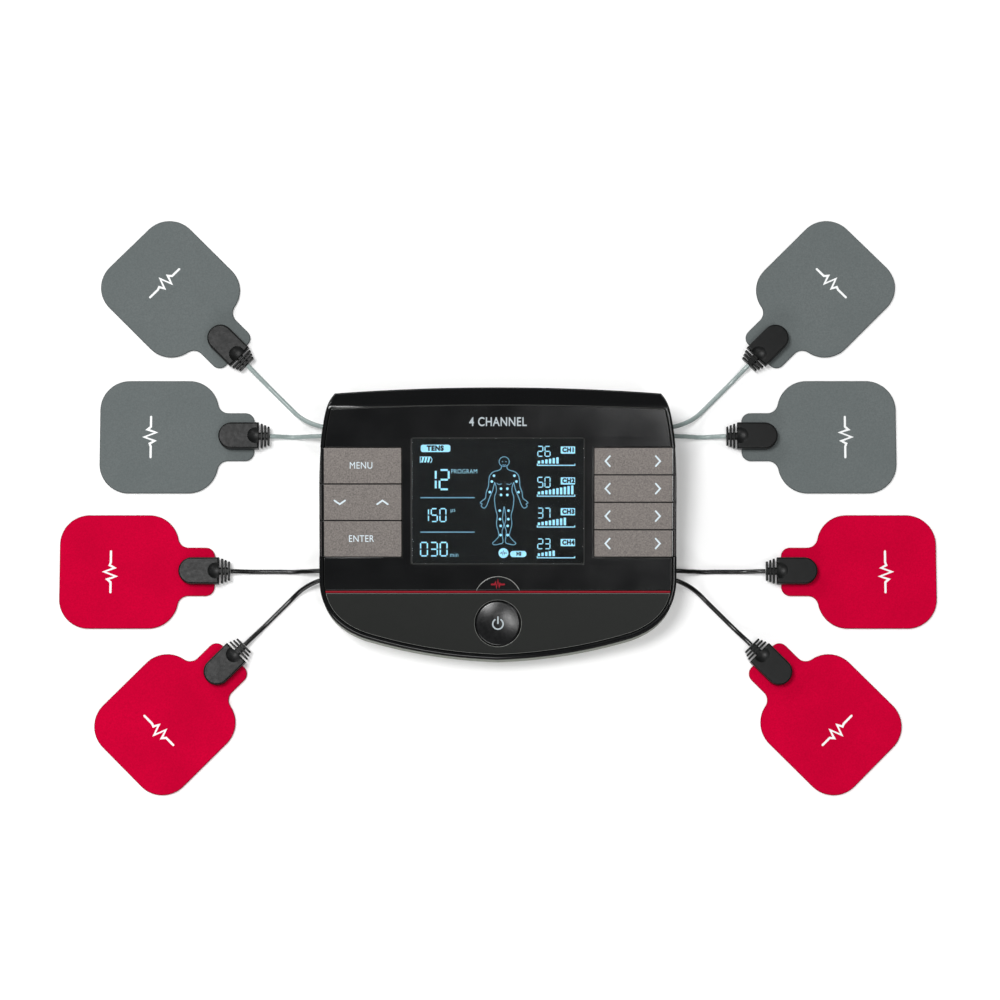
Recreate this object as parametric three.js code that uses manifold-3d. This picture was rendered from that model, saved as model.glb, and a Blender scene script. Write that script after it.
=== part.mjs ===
// A TENS and heat therapy set laid out on a table: a wedge-shaped control unit with a display and keys,
// and four two-way leads, each with two press-stud electrode pads. Millimetres, +Z up.
// The origin is on the table, at the centre of the laid-out set. +Y runs towards the unit's high rear edge.
import * as THREE from "three";
import { mergeVertices } from "three/addons/utils/BufferGeometryUtils.js";
import Module from "manifold-3d";

const wasm = await Module();
wasm.setup();

const QUARTER_TURN = Math.PI / 2;

// Reach of a cutting block that goes past the whole object, and the gap between fitted parts
const FAR = 200;
const FIT_GAP = 0.3;

// Control unit case
const CASE_HALF_WIDTH = 77.2;
const CASE_FRONT_Y = -69.6;
const CASE_REAR_Y = 46.7;
const WALL = 2.2;
const FLOOR_LOW = 1.5;
const FLOOR_TOP = 3.5;
const PARTING_Z = 14;
const ABOVE_CASE = 60;

// Screw posts: the lower ones take the screws, the upper ones have their pilot holes
const SCREW_POSTS = [[49, 40], [-49, 40], [45, -52], [-45, -52]];
const POST_RADIUS = 4.4;
const UPPER_POST_RADIUS = 3.2;
const PILOT_RADIUS = 1.2;
const SCREW_HOLE_RADIUS = 1.7;
const HEAD_HOLE_RADIUS = 3.1;
const HEAD_HOLE_TOP = 5.5;

// The sloping panel: its own frame has x across, v up the slope and w out of the surface.
const PANEL_SLOPE = THREE.MathUtils.degToRad(12);
const PANEL_Y = -40.9;
const PANEL_Z = 22.9;
const RIM = 1.8;
const INLAY_DEPTH = 2.0;
const INLAY_GAP = 0.2;
const DECK_BOTTOM = -3.6;
const REAR_LINE_V = 81;
const REAR_BEVEL = THREE.MathUtils.degToRad(-27);

// Display
const WINDOW_HALF_WIDTH = 37;
const WINDOW_HALF_HEIGHT = 27;
const WINDOW_V = 39.3;

// Keys: two blocks that wrap over the case's side edges
const KEY_INNER_X = 41.6;
const KEY_OUTER_X = 76.5;
const KEY_MID_X = 59;
const KEY_LOW_V = 15.3;
const KEY_HIGH_V = 62.3;
const KEY_GAP = 0.5;
const KEY_TOP = 0.4;
const KEY_UNDER = -1.0;
const KEY_LIP_BOTTOM = -2.4;
const KEY_LIP = 1.0;
const LEG = 4;
const LEG_BOTTOM = -4.0;
const LEG_CLEARANCE = 0.6;
const ROCKER_ARM = 11;
const LEFT_KEYS = ["key_enter", "key_up_down", "key_menu"];
const LEFT_ROCKERS = ["key_up_down"];
const RIGHT_KEYS = ["key_channel_4", "key_channel_3", "key_channel_2", "key_channel_1"];

// Power button, badge and the red strip between the two panels
const POWER_V = -13.7;
const POWER_RADIUS = 9.5;
const POWER_HOLE = 10.1;
const STEM_RADIUS = 3;
const STRIP_HALF = 0.35;
const BADGE_RADIUS = 10.4;
const BADGE_V = -3.5;

// Circuit board and what stands on it
const BOARD_TOP = -7.2;
const BOARD_THICK = 1.6;
const BOARD_HALF_WIDTH = 54;
const BOARD_FRONT_V = -18;
const BOARD_REAR_V = 74;
const BOARD_WING_X = 73.6;
const DOME_TOP = -5.1;

// Battery bay under the rear of the unit
const BAY_HALF_WIDTH = 31;
const BAY_FRONT_Y = -9;
const BAY_REAR_Y = 40;
const BAY_TOP_Z = 18.2;
const BAY_WALL = 1.6;
const COVER_HALF_WIDTH = 30;
const COVER_GAP = 0.35;
const COVER_TOP = 3.3;
const COVER_REAR_Y = 45.8;
const BATTERY_RADIUS = 7.1;
const BATTERY_LENGTH = 50.5;
const BATTERY_PITCH = 15.2;
const BATTERY_Y = 15.5;
const BATTERY_Z = 10.8;
const NUB_RADIUS = 2.7;
const SPRING_RADIUS = 3.2;

// Feet: one long one at the front, two round ones at the rear
const FRONT_FOOT_Y = -57;
const FRONT_FOOT_HALF = [26, 3.5];
const REAR_FOOT = [60, 2];
const REAR_FOOT_RADIUS = 5;

// Lead sockets in recesses on both sides, at +-PLUG_Y
const PLUG_Y = 31.6;
const PLUG_Z = 7.0;
const RECESS_INNER_X = 59;
const RECESS_HALF_WIDTH = 7.6;
const RECESS_TOP_Z = 12.5;
const PLUG_INNER_X = 59.6;
const PLUG_OUTER_X = 72;
const PIN_TIP_X = 49;
const PIN_RADIUS = 1.25;
const BORE_RADIUS = 1.6;
const PLUG_HALF_WIDTH = 4.75;
const PLUG_HALF_HEIGHT = 3.3;

// Electrode pads and their snap connectors, about the snap stud
const PAD_THICK = 1.6;
const PAD_HALF = 25.05;
const PAD_CORNER = 13;
const PAD_CENTRE_X = -33.25;
const PAD_RIGHT_X = -19.1;
const PAD_CORNER_Y = PAD_HALF - PAD_CORNER;
const TAB_END_X = 9.8;
const TAB_HALF = 10.7;
const TAB_CORNER = 4;
const NECK_FILLET = 4.66;
const NECK_X = -1.75;
const STUD_RADIUS = 2.2;
const STUD_TOP = 4.0;
const CONNECTOR_LOW = 1.7;
const CONNECTOR_TOP = 6.9;
const CONNECTOR_HALF = 5.85;
const CONNECTOR_END_X = 11.9;
const RELIEF_END_X = 16.5;
const CORD_Z = 3.6;

// [side in x, side in y] of channels 1 to 4: left rear, left front, right rear, right front.
const QUARTERS = [[-1, 1], [-1, -1], [1, 1], [1, -1]];

// Where each pad's stud is, for the rear-right quarter. The inner pad lies square, the outer one
// at 45 degrees.
const INNER_STUD_REAR = [117.1, 30.2];
const INNER_STUD_FRONT = [133.9, 29.6];
const OUTER_STUD = [122.4, 73.85];

// The leads' centrelines from plug to connector, for the rear-right quarter.
const LEAD_RADIUS = 1.0;
const LEAD_SIDES = 8;
const INNER_LEAD_REAR = [
  [72.3, 29.8, 7.0], [74.4, 29.8, 7.0], [76.5, 29.8, 6.9], [78.5, 29.8, 6.5], [80.4, 29.8, 5.9],
  [82.2, 29.9, 5.1], [84.0, 29.9, 4.1], [85.7, 30.0, 3.1], [87.4, 30.0, 2.1], [89.2, 30.1, 1.4],
  [91.0, 30.1, 1.15], [92.9, 30.2, 1.35], [94.8, 30.2, 1.95], [96.6, 30.2, 2.75], [98.4, 30.2, 3.35],
  [100.3, 30.2, 3.6],
];
const INNER_LEAD_FRONT = [
  [72.3, 29.8, 7.0], [74.4, 29.8, 7.0], [76.5, 29.8, 6.9], [78.5, 29.8, 6.5], [80.4, 29.8, 5.9],
  [82.2, 29.8, 5.1], [84.0, 29.8, 4.1], [85.7, 29.7, 3.1], [87.4, 29.7, 2.1], [89.2, 29.7, 1.4],
  [91.4, 29.7, 1.1], [95.0, 29.6, 1.05], [99.0, 29.6, 1.05], [103.0, 29.6, 1.05], [106.0, 29.6, 1.1],
  [108.6, 29.6, 1.4], [111.0, 29.6, 2.1], [113.2, 29.6, 2.9], [115.2, 29.6, 3.4], [117.1, 29.6, 3.6],
];
const OUTER_LEAD = [
  [72.3, 33.4, 7.0], [74.1, 33.5, 7.0], [76.1, 33.8, 6.9], [78.2, 34.2, 6.6], [80.2, 34.9, 6.0],
  [82.1, 35.7, 5.2], [84.0, 36.7, 4.3], [85.8, 37.8, 3.3], [87.4, 39.0, 2.4], [89.0, 40.4, 1.7],
  [90.8, 42.2, 1.2], [93.0, 44.4, 1.05], [96.0, 47.4, 1.05], [99.0, 50.4, 1.05], [101.5, 52.9, 1.1],
  [103.6, 55.0, 1.4], [105.4, 56.8, 2.0], [107.1, 58.5, 2.7], [108.8, 60.2, 3.3], [110.5, 61.95, 3.6],
];

const FINISH = {
  gloss_black: { color: 0x0c0d0e, roughness: 0.16, metalness: 0.0 },
  satin_black: { color: 0x141514, roughness: 0.4, metalness: 0.0 },
  matte_black: { color: 0x282b29, roughness: 0.6, metalness: 0.0 },
  case_grey: { color: 0x8a8f82, roughness: 0.5, metalness: 0.1 },
  key_grey: { color: 0x8a8380, roughness: 0.45, metalness: 0.6 },
  red: { color: 0xb8102c, roughness: 0.35, metalness: 0.0 },
  lens: { color: 0x0a0f10, roughness: 0.08, metalness: 0.0 },
  rubber: { color: 0x1c1c1c, roughness: 0.85, metalness: 0.0 },
  silicone: { color: 0xc8c8c0, roughness: 0.7, metalness: 0.0 },
  board: { color: 0x14502c, roughness: 0.5, metalness: 0.0 },
  metal: { color: 0xb8bcc0, roughness: 0.3, metalness: 1.0 },
  battery: { color: 0x1f4e8c, roughness: 0.4, metalness: 0.0 },
  connector: { color: 0x2b2b2b, roughness: 0.5, metalness: 0.0 },
  pad_grey: { color: 0x656c6b, roughness: 0.9, metalness: 0.0 },
  pad_red: { color: 0xbe0530, roughness: 0.9, metalness: 0.0 },
  lead_grey: { color: 0x9fb0b0, roughness: 0.5, metalness: 0.0 },
  lead_black: { color: 0x161616, roughness: 0.5, metalness: 0.0 },
};

const materials = Object.fromEntries(
  Object.entries(FINISH).map(([name, look]) => [name, new THREE.MeshStandardMaterial(look)]),
);

// ---- solids ----

function solid(geometry) {
  const bare = geometry.index ? geometry.toNonIndexed() : geometry.clone();
  bare.deleteAttribute("normal");
  bare.deleteAttribute("uv");
  const merged = mergeVertices(bare, 1e-4);
  const vertProperties = merged.attributes.position.array;
  const triVerts = new Uint32Array(merged.index.array);
  return new wasm.Manifold(new wasm.Mesh({ numProp: 3, vertProperties, triVerts }));
}

function geometryOf(made) {
  const { vertProperties, triVerts } = made.getMesh();
  return new THREE.BufferGeometry()
    .setAttribute("position", new THREE.BufferAttribute(vertProperties, 3))
    .setIndex(new THREE.BufferAttribute(triVerts, 1));
}

function box(low, high) {
  const size = high.map((top, k) => top - low[k]);
  const middle = high.map((top, k) => (top + low[k]) / 2);
  return solid(new THREE.BoxGeometry(...size).translate(...middle));
}

// A box given by its half width across x, for what is centred on the unit.
function centredBox(halfWidth, low, high) {
  return box([-halfWidth, ...low], [halfWidth, ...high]);
}

function extrusion(shape, low, high, curveSegments = 4) {
  const depth = high - low;
  const made = new THREE.ExtrudeGeometry(shape, { depth, bevelEnabled: false, curveSegments });
  return solid(made.translate(0, 0, low));
}

// An upright cylinder about (x, y), from low to high.
function post(x, y, radius, low, high, sides = 12) {
  const made = new THREE.CylinderGeometry(radius, radius, high - low, sides).rotateX(QUARTER_TURN);
  return solid(made.translate(x, y, (low + high) / 2));
}

// A cylinder along x, from one x to another.
function rod(fromX, toX, y, z, radius, sides = 12) {
  const length = Math.abs(toX - fromX);
  const made = new THREE.CylinderGeometry(radius, radius, length, sides).rotateZ(QUARTER_TURN);
  return solid(made.translate((fromX + toX) / 2, y, z));
}

function roundedRectangle(halfWidth, halfHeight, radius) {
  const [w, h] = [halfWidth - radius, halfHeight - radius];
  const shape = new THREE.Shape();
  shape.absarc(w, h, radius, 0, QUARTER_TURN);
  shape.absarc(-w, h, radius, QUARTER_TURN, Math.PI);
  shape.absarc(-w, -h, radius, Math.PI, 1.5 * Math.PI);
  shape.absarc(w, -h, radius, 1.5 * Math.PI, 2 * Math.PI);
  return shape;
}

function joined(solids) {
  return solids.reduce((all, one) => all.add(one));
}

function withHoles(body, holes) {
  return body.subtract(joined(holes));
}

// ---- the object's group, and the panel's tilted group inside it ----

const set = new THREE.Group();
const panel = new THREE.Group();
panel.position.set(0, PANEL_Y, PANEL_Z);
panel.rotation.x = PANEL_SLOPE;
panel.updateMatrix();
set.add(panel);

function place(parent, name, body, finish) {
  const mesh = new THREE.Mesh(geometryOf(body), materials[finish]);
  mesh.name = name;
  parent.add(mesh);
  return mesh;
}

function toCase(panelSolid) {
  return panelSolid.transform(panel.matrix.toArray());
}

// ---- case outline ----

// The unit's plan outline as points, moved inwards by inset: a shallow bowed front, round front corners,
// straight sides that draw in towards the rear, and a slightly bowed rear edge.
function caseOutline(inset) {
  const half = new THREE.Path();
  half.moveTo(0, CASE_FRONT_Y);
  half.quadraticCurveTo(30, -68.6, 58, -60.2);
  half.bezierCurveTo(68, -56.6, CASE_HALF_WIDTH, -50, CASE_HALF_WIDTH, -35);
  half.lineTo(CASE_HALF_WIDTH, 2);
  half.quadraticCurveTo(CASE_HALF_WIDTH, 21, 75.3, 30.5);
  half.quadraticCurveTo(73.9, 39.8, 70.4, 43.8);
  half.quadraticCurveTo(36, CASE_REAR_Y, 0, CASE_REAR_Y);
  const right = half.getPoints(6);
  const left = right.slice(1, -1).reverse().map((p) => new THREE.Vector2(-p.x, p.y));
  const loop = [...right, ...left];
  const moved = loop.map((p, i) => {
    const before = loop[(i + loop.length - 1) % loop.length];
    const after = loop[(i + 1) % loop.length];
    const along = after.clone().sub(before).normalize();
    return new THREE.Vector2(p.x - along.y * inset, p.y + along.x * inset);
  });
  return new THREE.Shape(moved);
}

function caseColumn(inset, low, high) {
  return extrusion(caseOutline(inset), low, high);
}

// Everything under the panel's surface, depth below it.
function belowPanel(depth) {
  return toCase(centredBox(FAR, [-FAR, -FAR], [FAR, -depth]));
}

// Everything under the bevel that runs from the rear line down to the rear edge.
function belowRearBevel(depth) {
  const turned = new THREE.Matrix4().makeRotationX(REAR_BEVEL - PANEL_SLOPE);
  const at = new THREE.Matrix4().makeTranslation(0, REAR_LINE_V, 0).multiply(turned);
  const under = centredBox(FAR, [-FAR, -FAR], [FAR, -depth]);
  return toCase(under.transform(at.toArray()));
}

// A layer of the panel that follows the case's outline: from lowV to highV up the slope, bottom to top in w.
function panelLayer(inset, lowV, highV, bottom, top) {
  const column = caseColumn(inset, 0, ABOVE_CASE);
  const inPanel = column.transform(panel.matrix.clone().invert().toArray());
  return inPanel.intersect(centredBox(FAR, [lowV, bottom], [highV, top]));
}

// ---- keys ----

// Low and high v of each of count keys in a block, from the front.
function keyRows(count) {
  const pitch = (KEY_HIGH_V - KEY_LOW_V + KEY_GAP) / count;
  return Array.from({ length: count }, (_, i) => {
    const low = KEY_LOW_V + i * pitch;
    return [low, low + pitch - KEY_GAP];
  });
}

// The x of each leg under a key: one in the middle of a push key, one near each end of a rocker.
function legPlaces(rocker) {
  return rocker ? [KEY_MID_X - ROCKER_ARM, KEY_MID_X + ROCKER_ARM] : [KEY_MID_X];
}

// A legHole is cut in the deck under each leg, and a dome stands under it.
const legs = [];

function addKey(name, side, [lowV, highV], rocker) {
  const middle = (lowV + highV) / 2;
  const across = (a, b, v0, v1, w0, w1) => {
    const [x0, x1] = side > 0 ? [a, b] : [-b, -a];
    return box([x0, v0, w0], [x1, v1, w1]);
  };
  const cap = across(KEY_INNER_X, KEY_OUTER_X, lowV, highV, KEY_UNDER, KEY_TOP);
  const lip = across(KEY_OUTER_X - KEY_LIP, KEY_OUTER_X, lowV, highV, KEY_LIP_BOTTOM, KEY_TOP);
  const parts = [cap, lip];
  for (const x of legPlaces(rocker)) {
    legs.push({ x: side * x, v: middle });
    parts.push(across(x - LEG / 2, x + LEG / 2, middle - LEG / 2, middle + LEG / 2, LEG_BOTTOM, KEY_TOP));
  }
  if (rocker) {
    const ridgeBottom = INLAY_GAP - INLAY_DEPTH;
    parts.push(across(KEY_MID_X - 0.6, KEY_MID_X + 0.6, lowV + 1, highV - 1, ridgeBottom, KEY_TOP));
  }
  place(panel, name, joined(parts), "key_grey");
}

function addKeys() {
  keyRows(LEFT_KEYS.length).forEach((row, i) => {
    const name = LEFT_KEYS[i];
    addKey(name, -1, row, LEFT_ROCKERS.includes(name));
  });
  keyRows(RIGHT_KEYS.length).forEach((row, i) => addKey(RIGHT_KEYS[i], 1, row, true));
}

function addPowerButton() {
  const profile = [
    [0, LEG_BOTTOM], [STEM_RADIUS, LEG_BOTTOM], [STEM_RADIUS, -0.8], [POWER_RADIUS, -0.8],
    [POWER_RADIUS, 0.1], [POWER_RADIUS - 0.7, 0.6], [5, 0.85], [0, 0.95],
  ].map(([r, w]) => new THREE.Vector2(r, w));
  const turned = new THREE.LatheGeometry(profile, 32).rotateX(QUARTER_TURN);
  place(panel, "power_button", solid(turned.translate(0, POWER_V, 0)), "gloss_black");
}

// ---- case parts ----

function addTopShell() {
  const block = caseColumn(0, PARTING_Z, ABOVE_CASE);
  const outer = block.intersect(belowPanel(0)).intersect(belowRearBevel(0));
  const inside = caseColumn(WALL, 0, ABOVE_CASE);
  const under = inside.intersect(belowPanel(-DECK_BOTTOM)).intersect(belowRearBevel(2));
  const inlay = toCase(panelLayer(RIM, -FAR, REAR_LINE_V, -INLAY_DEPTH, 20));
  const reachV = [KEY_LOW_V - FIT_GAP, KEY_HIGH_V + FIT_GAP];
  const steps = [[KEY_OUTER_X - 4, -INLAY_DEPTH], [KEY_OUTER_X - KEY_LIP - FIT_GAP, KEY_LIP_BOTTOM - 1]];
  const notches = [-1, 1].flatMap((side) =>
    steps.map(([near, low]) => {
      const x = side > 0 ? [near, 90] : [-90, -near];
      return toCase(box([x[0], reachV[0], low], [x[1], reachV[1], 20]));
    }),
  );
  const [lcdX, lcdV] = [WINDOW_HALF_WIDTH + 0.5, WINDOW_HALF_HEIGHT + 1];
  const through = [DECK_BOTTOM - 1, 5];
  const lcdEnds = [WINDOW_V - lcdV, WINDOW_V + lcdV];
  const lcdHole = toCase(centredBox(lcdX, [lcdEnds[0], through[0]], [lcdEnds[1], through[1]]));
  const reach = LEG / 2 + LEG_CLEARANCE;
  const legHoles = legs.map(({ x, v }) =>
    toCase(box([x - reach, v - reach, through[0]], [x + reach, v + reach, through[1]])),
  );
  const powerHole = toCase(post(0, POWER_V, STEM_RADIUS + 2 * FIT_GAP, ...through));
  const hollow = withHoles(outer, [under, inlay, ...notches, lcdHole, ...legHoles, powerHole]);
  const postRoom = belowPanel(2.6).intersect(belowRearBevel(1));
  const posts = SCREW_POSTS.map(([x, y]) =>
    post(x, y, UPPER_POST_RADIUS, PARTING_Z, ABOVE_CASE).intersect(postRoom),
  );
  const pilots = SCREW_POSTS.map(([x, y]) => post(x, y, PILOT_RADIUS, PARTING_Z - 1, PARTING_Z + 8, 8));
  place(set, "top_shell", withHoles(joined([hollow, ...posts]), pilots), "gloss_black");
}

function addBottomShell() {
  const outer = caseColumn(0, FLOOR_LOW, PARTING_Z);
  const tray = outer.subtract(caseColumn(WALL, FLOOR_TOP, PARTING_Z + 1));
  const bayHalf = BAY_HALF_WIDTH + BAY_WALL;
  const bayLow = [BAY_FRONT_Y - BAY_WALL, FLOOR_LOW + 1];
  const bay = centredBox(bayHalf, bayLow, [BAY_REAR_Y + BAY_WALL, BAY_TOP_Z + BAY_WALL]);
  const bayHollow = centredBox(BAY_HALF_WIDTH, [BAY_FRONT_Y, FLOOR_TOP], [BAY_REAR_Y, BAY_TOP_Z]);
  const coverHalf = COVER_HALF_WIDTH + COVER_GAP;
  const coverWay = centredBox(coverHalf, [BAY_FRONT_Y, 0], [CASE_REAR_Y + 5, FLOOR_TOP + FIT_GAP]);
  const posts = SCREW_POSTS.map(([x, y]) => post(x, y, POST_RADIUS, FLOOR_LOW, PARTING_Z).intersect(outer));
  const screwHoles = SCREW_POSTS.flatMap(([x, y]) => [
    post(x, y, SCREW_HOLE_RADIUS, 0, PARTING_Z + 1, 8),
    post(x, y, HEAD_HOLE_RADIUS, 0, HEAD_HOLE_TOP),
  ]);
  const added = [];
  const cut = [bayHollow, coverWay, ...screwHoles];
  for (const [sideX, sideY] of QUARTERS) {
    const y = sideY * PLUG_Y;
    const outerY = RECESS_HALF_WIDTH + 1.4;
    const along = (a, b) => (sideX > 0 ? [a, b] : [-b, -a]);
    const block = along(RECESS_INNER_X - 1.6, CASE_HALF_WIDTH);
    added.push(box([block[0], y - outerY, FLOOR_LOW], [block[1], y + outerY, PARTING_Z]).intersect(outer));
    const room = along(RECESS_INNER_X, CASE_HALF_WIDTH + 5);
    cut.push(
      box([room[0], y - RECESS_HALF_WIDTH, FLOOR_TOP], [room[1], y + RECESS_HALF_WIDTH, RECESS_TOP_Z]),
    );
    cut.push(rod(sideX * (RECESS_INNER_X - 4), sideX * (RECESS_INNER_X + 1), y, PLUG_Z, 1.9, 10));
  }
  const body = withHoles(joined([tray, bay, ...posts, ...added]), cut);
  place(set, "bottom_shell", body, "case_grey");
}

// ---- panel inlays ----

function addInlays() {
  const bottom = INLAY_GAP - INLAY_DEPTH;
  const inset = RIM + FIT_GAP;
  const keyWay = (side) => {
    const x = side > 0 ? [KEY_INNER_X - FIT_GAP, 90] : [-90, FIT_GAP - KEY_INNER_X];
    return box([x[0], KEY_LOW_V - FIT_GAP, -5], [x[1], KEY_HIGH_V + FIT_GAP, 5]);
  };
  const [holeX, holeV] = [WINDOW_HALF_WIDTH + FIT_GAP, WINDOW_HALF_HEIGHT + FIT_GAP];
  const windowHole = centredBox(holeX, [WINDOW_V - holeV, -5], [WINDOW_V + holeV, 5]);
  const badgeHole = post(0, BADGE_V, BADGE_RADIUS + FIT_GAP, -5, 5, 40);
  const fascia = panelLayer(inset, STRIP_HALF + FIT_GAP, REAR_LINE_V - FIT_GAP, bottom, 0);
  const holes = [keyWay(-1), keyWay(1), windowHole, badgeHole];
  place(panel, "fascia_panel", withHoles(fascia, holes), "gloss_black");

  const badgeLow = STRIP_HALF + FIT_GAP;
  const badge = post(0, BADGE_V, BADGE_RADIUS, bottom, 0.8, 40).intersect(
    centredBox(FAR, [badgeLow, -5], [FAR, 5]),
  );
  place(panel, "status_badge", badge, "matte_black");

  const strip = panelLayer(inset, -STRIP_HALF, STRIP_HALF, bottom, 0.1);
  place(panel, "accent_strip", strip, "red");

  const cover = panelLayer(inset, -FAR, -STRIP_HALF - FIT_GAP, bottom, 0);
  place(panel, "front_cover", cover.subtract(post(0, POWER_V, POWER_HOLE, -5, 5, 32)), "matte_black");

  const glassLow = [WINDOW_V - WINDOW_HALF_HEIGHT, -1.5];
  const glass = centredBox(WINDOW_HALF_WIDTH, glassLow, [WINDOW_V + WINDOW_HALF_HEIGHT, -0.2]);
  place(panel, "display_window", glass, "lens");
}

// ---- electronics ----

function addDomeMat(name, side) {
  const mine = legs.filter(({ x }) => Math.sign(x) === side);
  const foot = BOARD_TOP + 0.1;
  const reach = ROCKER_ARM + 3.4;
  const middle = side * KEY_MID_X;
  const sheet = box([middle - reach, KEY_LOW_V + 1, foot], [middle + reach, KEY_HIGH_V - 1, foot + 0.9]);
  const domes = mine.map(({ x, v }) => post(x, v, 2.6, foot, DOME_TOP, 10));
  place(panel, name, joined([sheet, ...domes]), "silicone");
}

function addElectronics() {
  const lcdLow = [WINDOW_V - WINDOW_HALF_HEIGHT - 0.6, -6.4];
  const lcdHigh = [WINDOW_V + WINDOW_HALF_HEIGHT + 0.6, -1.9];
  place(panel, "lcd_module", centredBox(WINDOW_HALF_WIDTH + 0.2, lcdLow, lcdHigh), "lens");

  const [boardLow, boardHigh] = [BOARD_TOP - BOARD_THICK, BOARD_TOP];
  const board = centredBox(BOARD_HALF_WIDTH, [BOARD_FRONT_V, boardLow], [BOARD_REAR_V, boardHigh]).add(
    centredBox(BOARD_WING_X, [KEY_LOW_V - 5, boardLow], [KEY_HIGH_V + 3, boardHigh]),
  );
  const inPanel = panel.matrix.clone().invert();
  const postHoles = SCREW_POSTS.map(([x, y]) =>
    post(x, y, POST_RADIUS + 1, 0, ABOVE_CASE, 16).transform(inPanel.toArray()),
  );
  place(panel, "circuit_board", withHoles(board, postHoles), "board");

  addDomeMat("dome_mat_left", -1);
  addDomeMat("dome_mat_right", 1);
}

// Three AA cells side by side, end to end between two contact plates with springs.
function addBatteries() {
  [0, 1, 2].forEach((i) => {
    const y = BATTERY_Y + (i - 1) * BATTERY_PITCH;
    const flip = i % 2 ? -1 : 1;
    const half = BATTERY_LENGTH / 2;
    const can = rod(-half * flip, (half - 1) * flip, y, BATTERY_Z, BATTERY_RADIUS, 20);
    const nub = rod((half - 2) * flip, half * flip, y, BATTERY_Z, NUB_RADIUS, 12);
    place(set, "battery_" + (i + 1), can.add(nub), "battery");
  });
  for (const [name, side] of [["battery_contacts_left", -1], ["battery_contacts_right", 1]]) {
    const [near, far] = [BATTERY_LENGTH / 2 + 0.4, BAY_HALF_WIDTH - 0.4];
    const x = side > 0 ? [far - 0.8, far] : [-far, 0.8 - far];
    const plate = box([x[0], BATTERY_Y - 21, 6], [x[1], BATTERY_Y + 21, 16]);
    const springs = [-1, 0, 1].map((i) =>
      rod(side * near, side * (far - 0.3), BATTERY_Y + i * BATTERY_PITCH, BATTERY_Z, SPRING_RADIUS, 12),
    );
    place(set, name, joined([plate, ...springs]), "metal");
  }
}

// ---- battery cover and feet ----

function addBatteryCover() {
  const plate = centredBox(COVER_HALF_WIDTH, [BAY_FRONT_Y + COVER_GAP, FLOOR_LOW], [COVER_REAR_Y, COVER_TOP]);
  const grips = [0, 1, 2, 3].map((i) => {
    const y = CASE_REAR_Y - 14 + i * 2.4;
    return centredBox(11, [y, FLOOR_LOW - 1], [y + 1.1, FLOOR_LOW + 0.5]);
  });
  place(set, "battery_cover", withHoles(plate, grips), "case_grey");
}

function addFeet() {
  const front = extrusion(roundedRectangle(...FRONT_FOOT_HALF, 3.4), 0, FLOOR_LOW);
  place(set, "foot_front", front.translate(0, FRONT_FOOT_Y, 0), "rubber");
  const [x, y] = REAR_FOOT;
  place(set, "foot_rear_left", post(-x, y, REAR_FOOT_RADIUS, 0, FLOOR_LOW, 24), "rubber");
  place(set, "foot_rear_right", post(x, y, REAR_FOOT_RADIUS, 0, FLOOR_LOW, 24), "rubber");
}

// ---- lead sets ----

function addSocket(name, sideX, sideY) {
  const y = sideY * PLUG_Y;
  const [inner, outer] = [PIN_TIP_X - 2.6, RECESS_INNER_X - 1.8];
  const x = sideX > 0 ? [inner, outer] : [-outer, -inner];
  const body = box([x[0], y - 3.5, FLOOR_TOP], [x[1], y + 3.5, PLUG_Z + 3.6]);
  const bore = rod(sideX * (PIN_TIP_X - 1), sideX * (outer + 1), y, PLUG_Z, BORE_RADIUS, 10);
  place(set, name, body.subtract(bore), "satin_black");
}

function addPlug(name, sideX, sideY) {
  const length = PLUG_OUTER_X - PLUG_INNER_X;
  const shape = roundedRectangle(PLUG_HALF_WIDTH, PLUG_HALF_HEIGHT, 1.6);
  const made = new THREE.ExtrudeGeometry(shape, { depth: length, bevelEnabled: false, curveSegments: 2 });
  made.rotateX(QUARTER_TURN).rotateZ(QUARTER_TURN);
  const from = sideX > 0 ? PLUG_INNER_X : -PLUG_OUTER_X;
  const body = solid(made.translate(from, sideY * PLUG_Y, PLUG_Z));
  const pin = rod(sideX * PIN_TIP_X, sideX * (PLUG_INNER_X + 1), sideY * PLUG_Y, PLUG_Z, PIN_RADIUS, 10);
  place(set, name, body.add(pin), "connector");
}

function addLead(name, route, sideX, sideY, finish) {
  const points = route.map(([x, y, z]) => new THREE.Vector3(sideX * x, sideY * y, z));
  const path = new THREE.CatmullRomCurve3(points, false, "centripetal");
  const steps = Math.round(path.getLength() / 3.6);
  const section = new THREE.Shape();
  for (let i = 0; i < LEAD_SIDES; i += 1) {
    const turn = (i / LEAD_SIDES) * 2 * Math.PI;
    const [a, b] = [LEAD_RADIUS * Math.cos(turn), LEAD_RADIUS * Math.sin(turn)];
    if (i === 0) section.moveTo(a, b);
    else section.lineTo(a, b);
  }
  const tube = new THREE.ExtrudeGeometry(section, { steps, extrudePath: path, bevelEnabled: false });
  place(set, name, solid(tube), finish);
}

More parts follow.
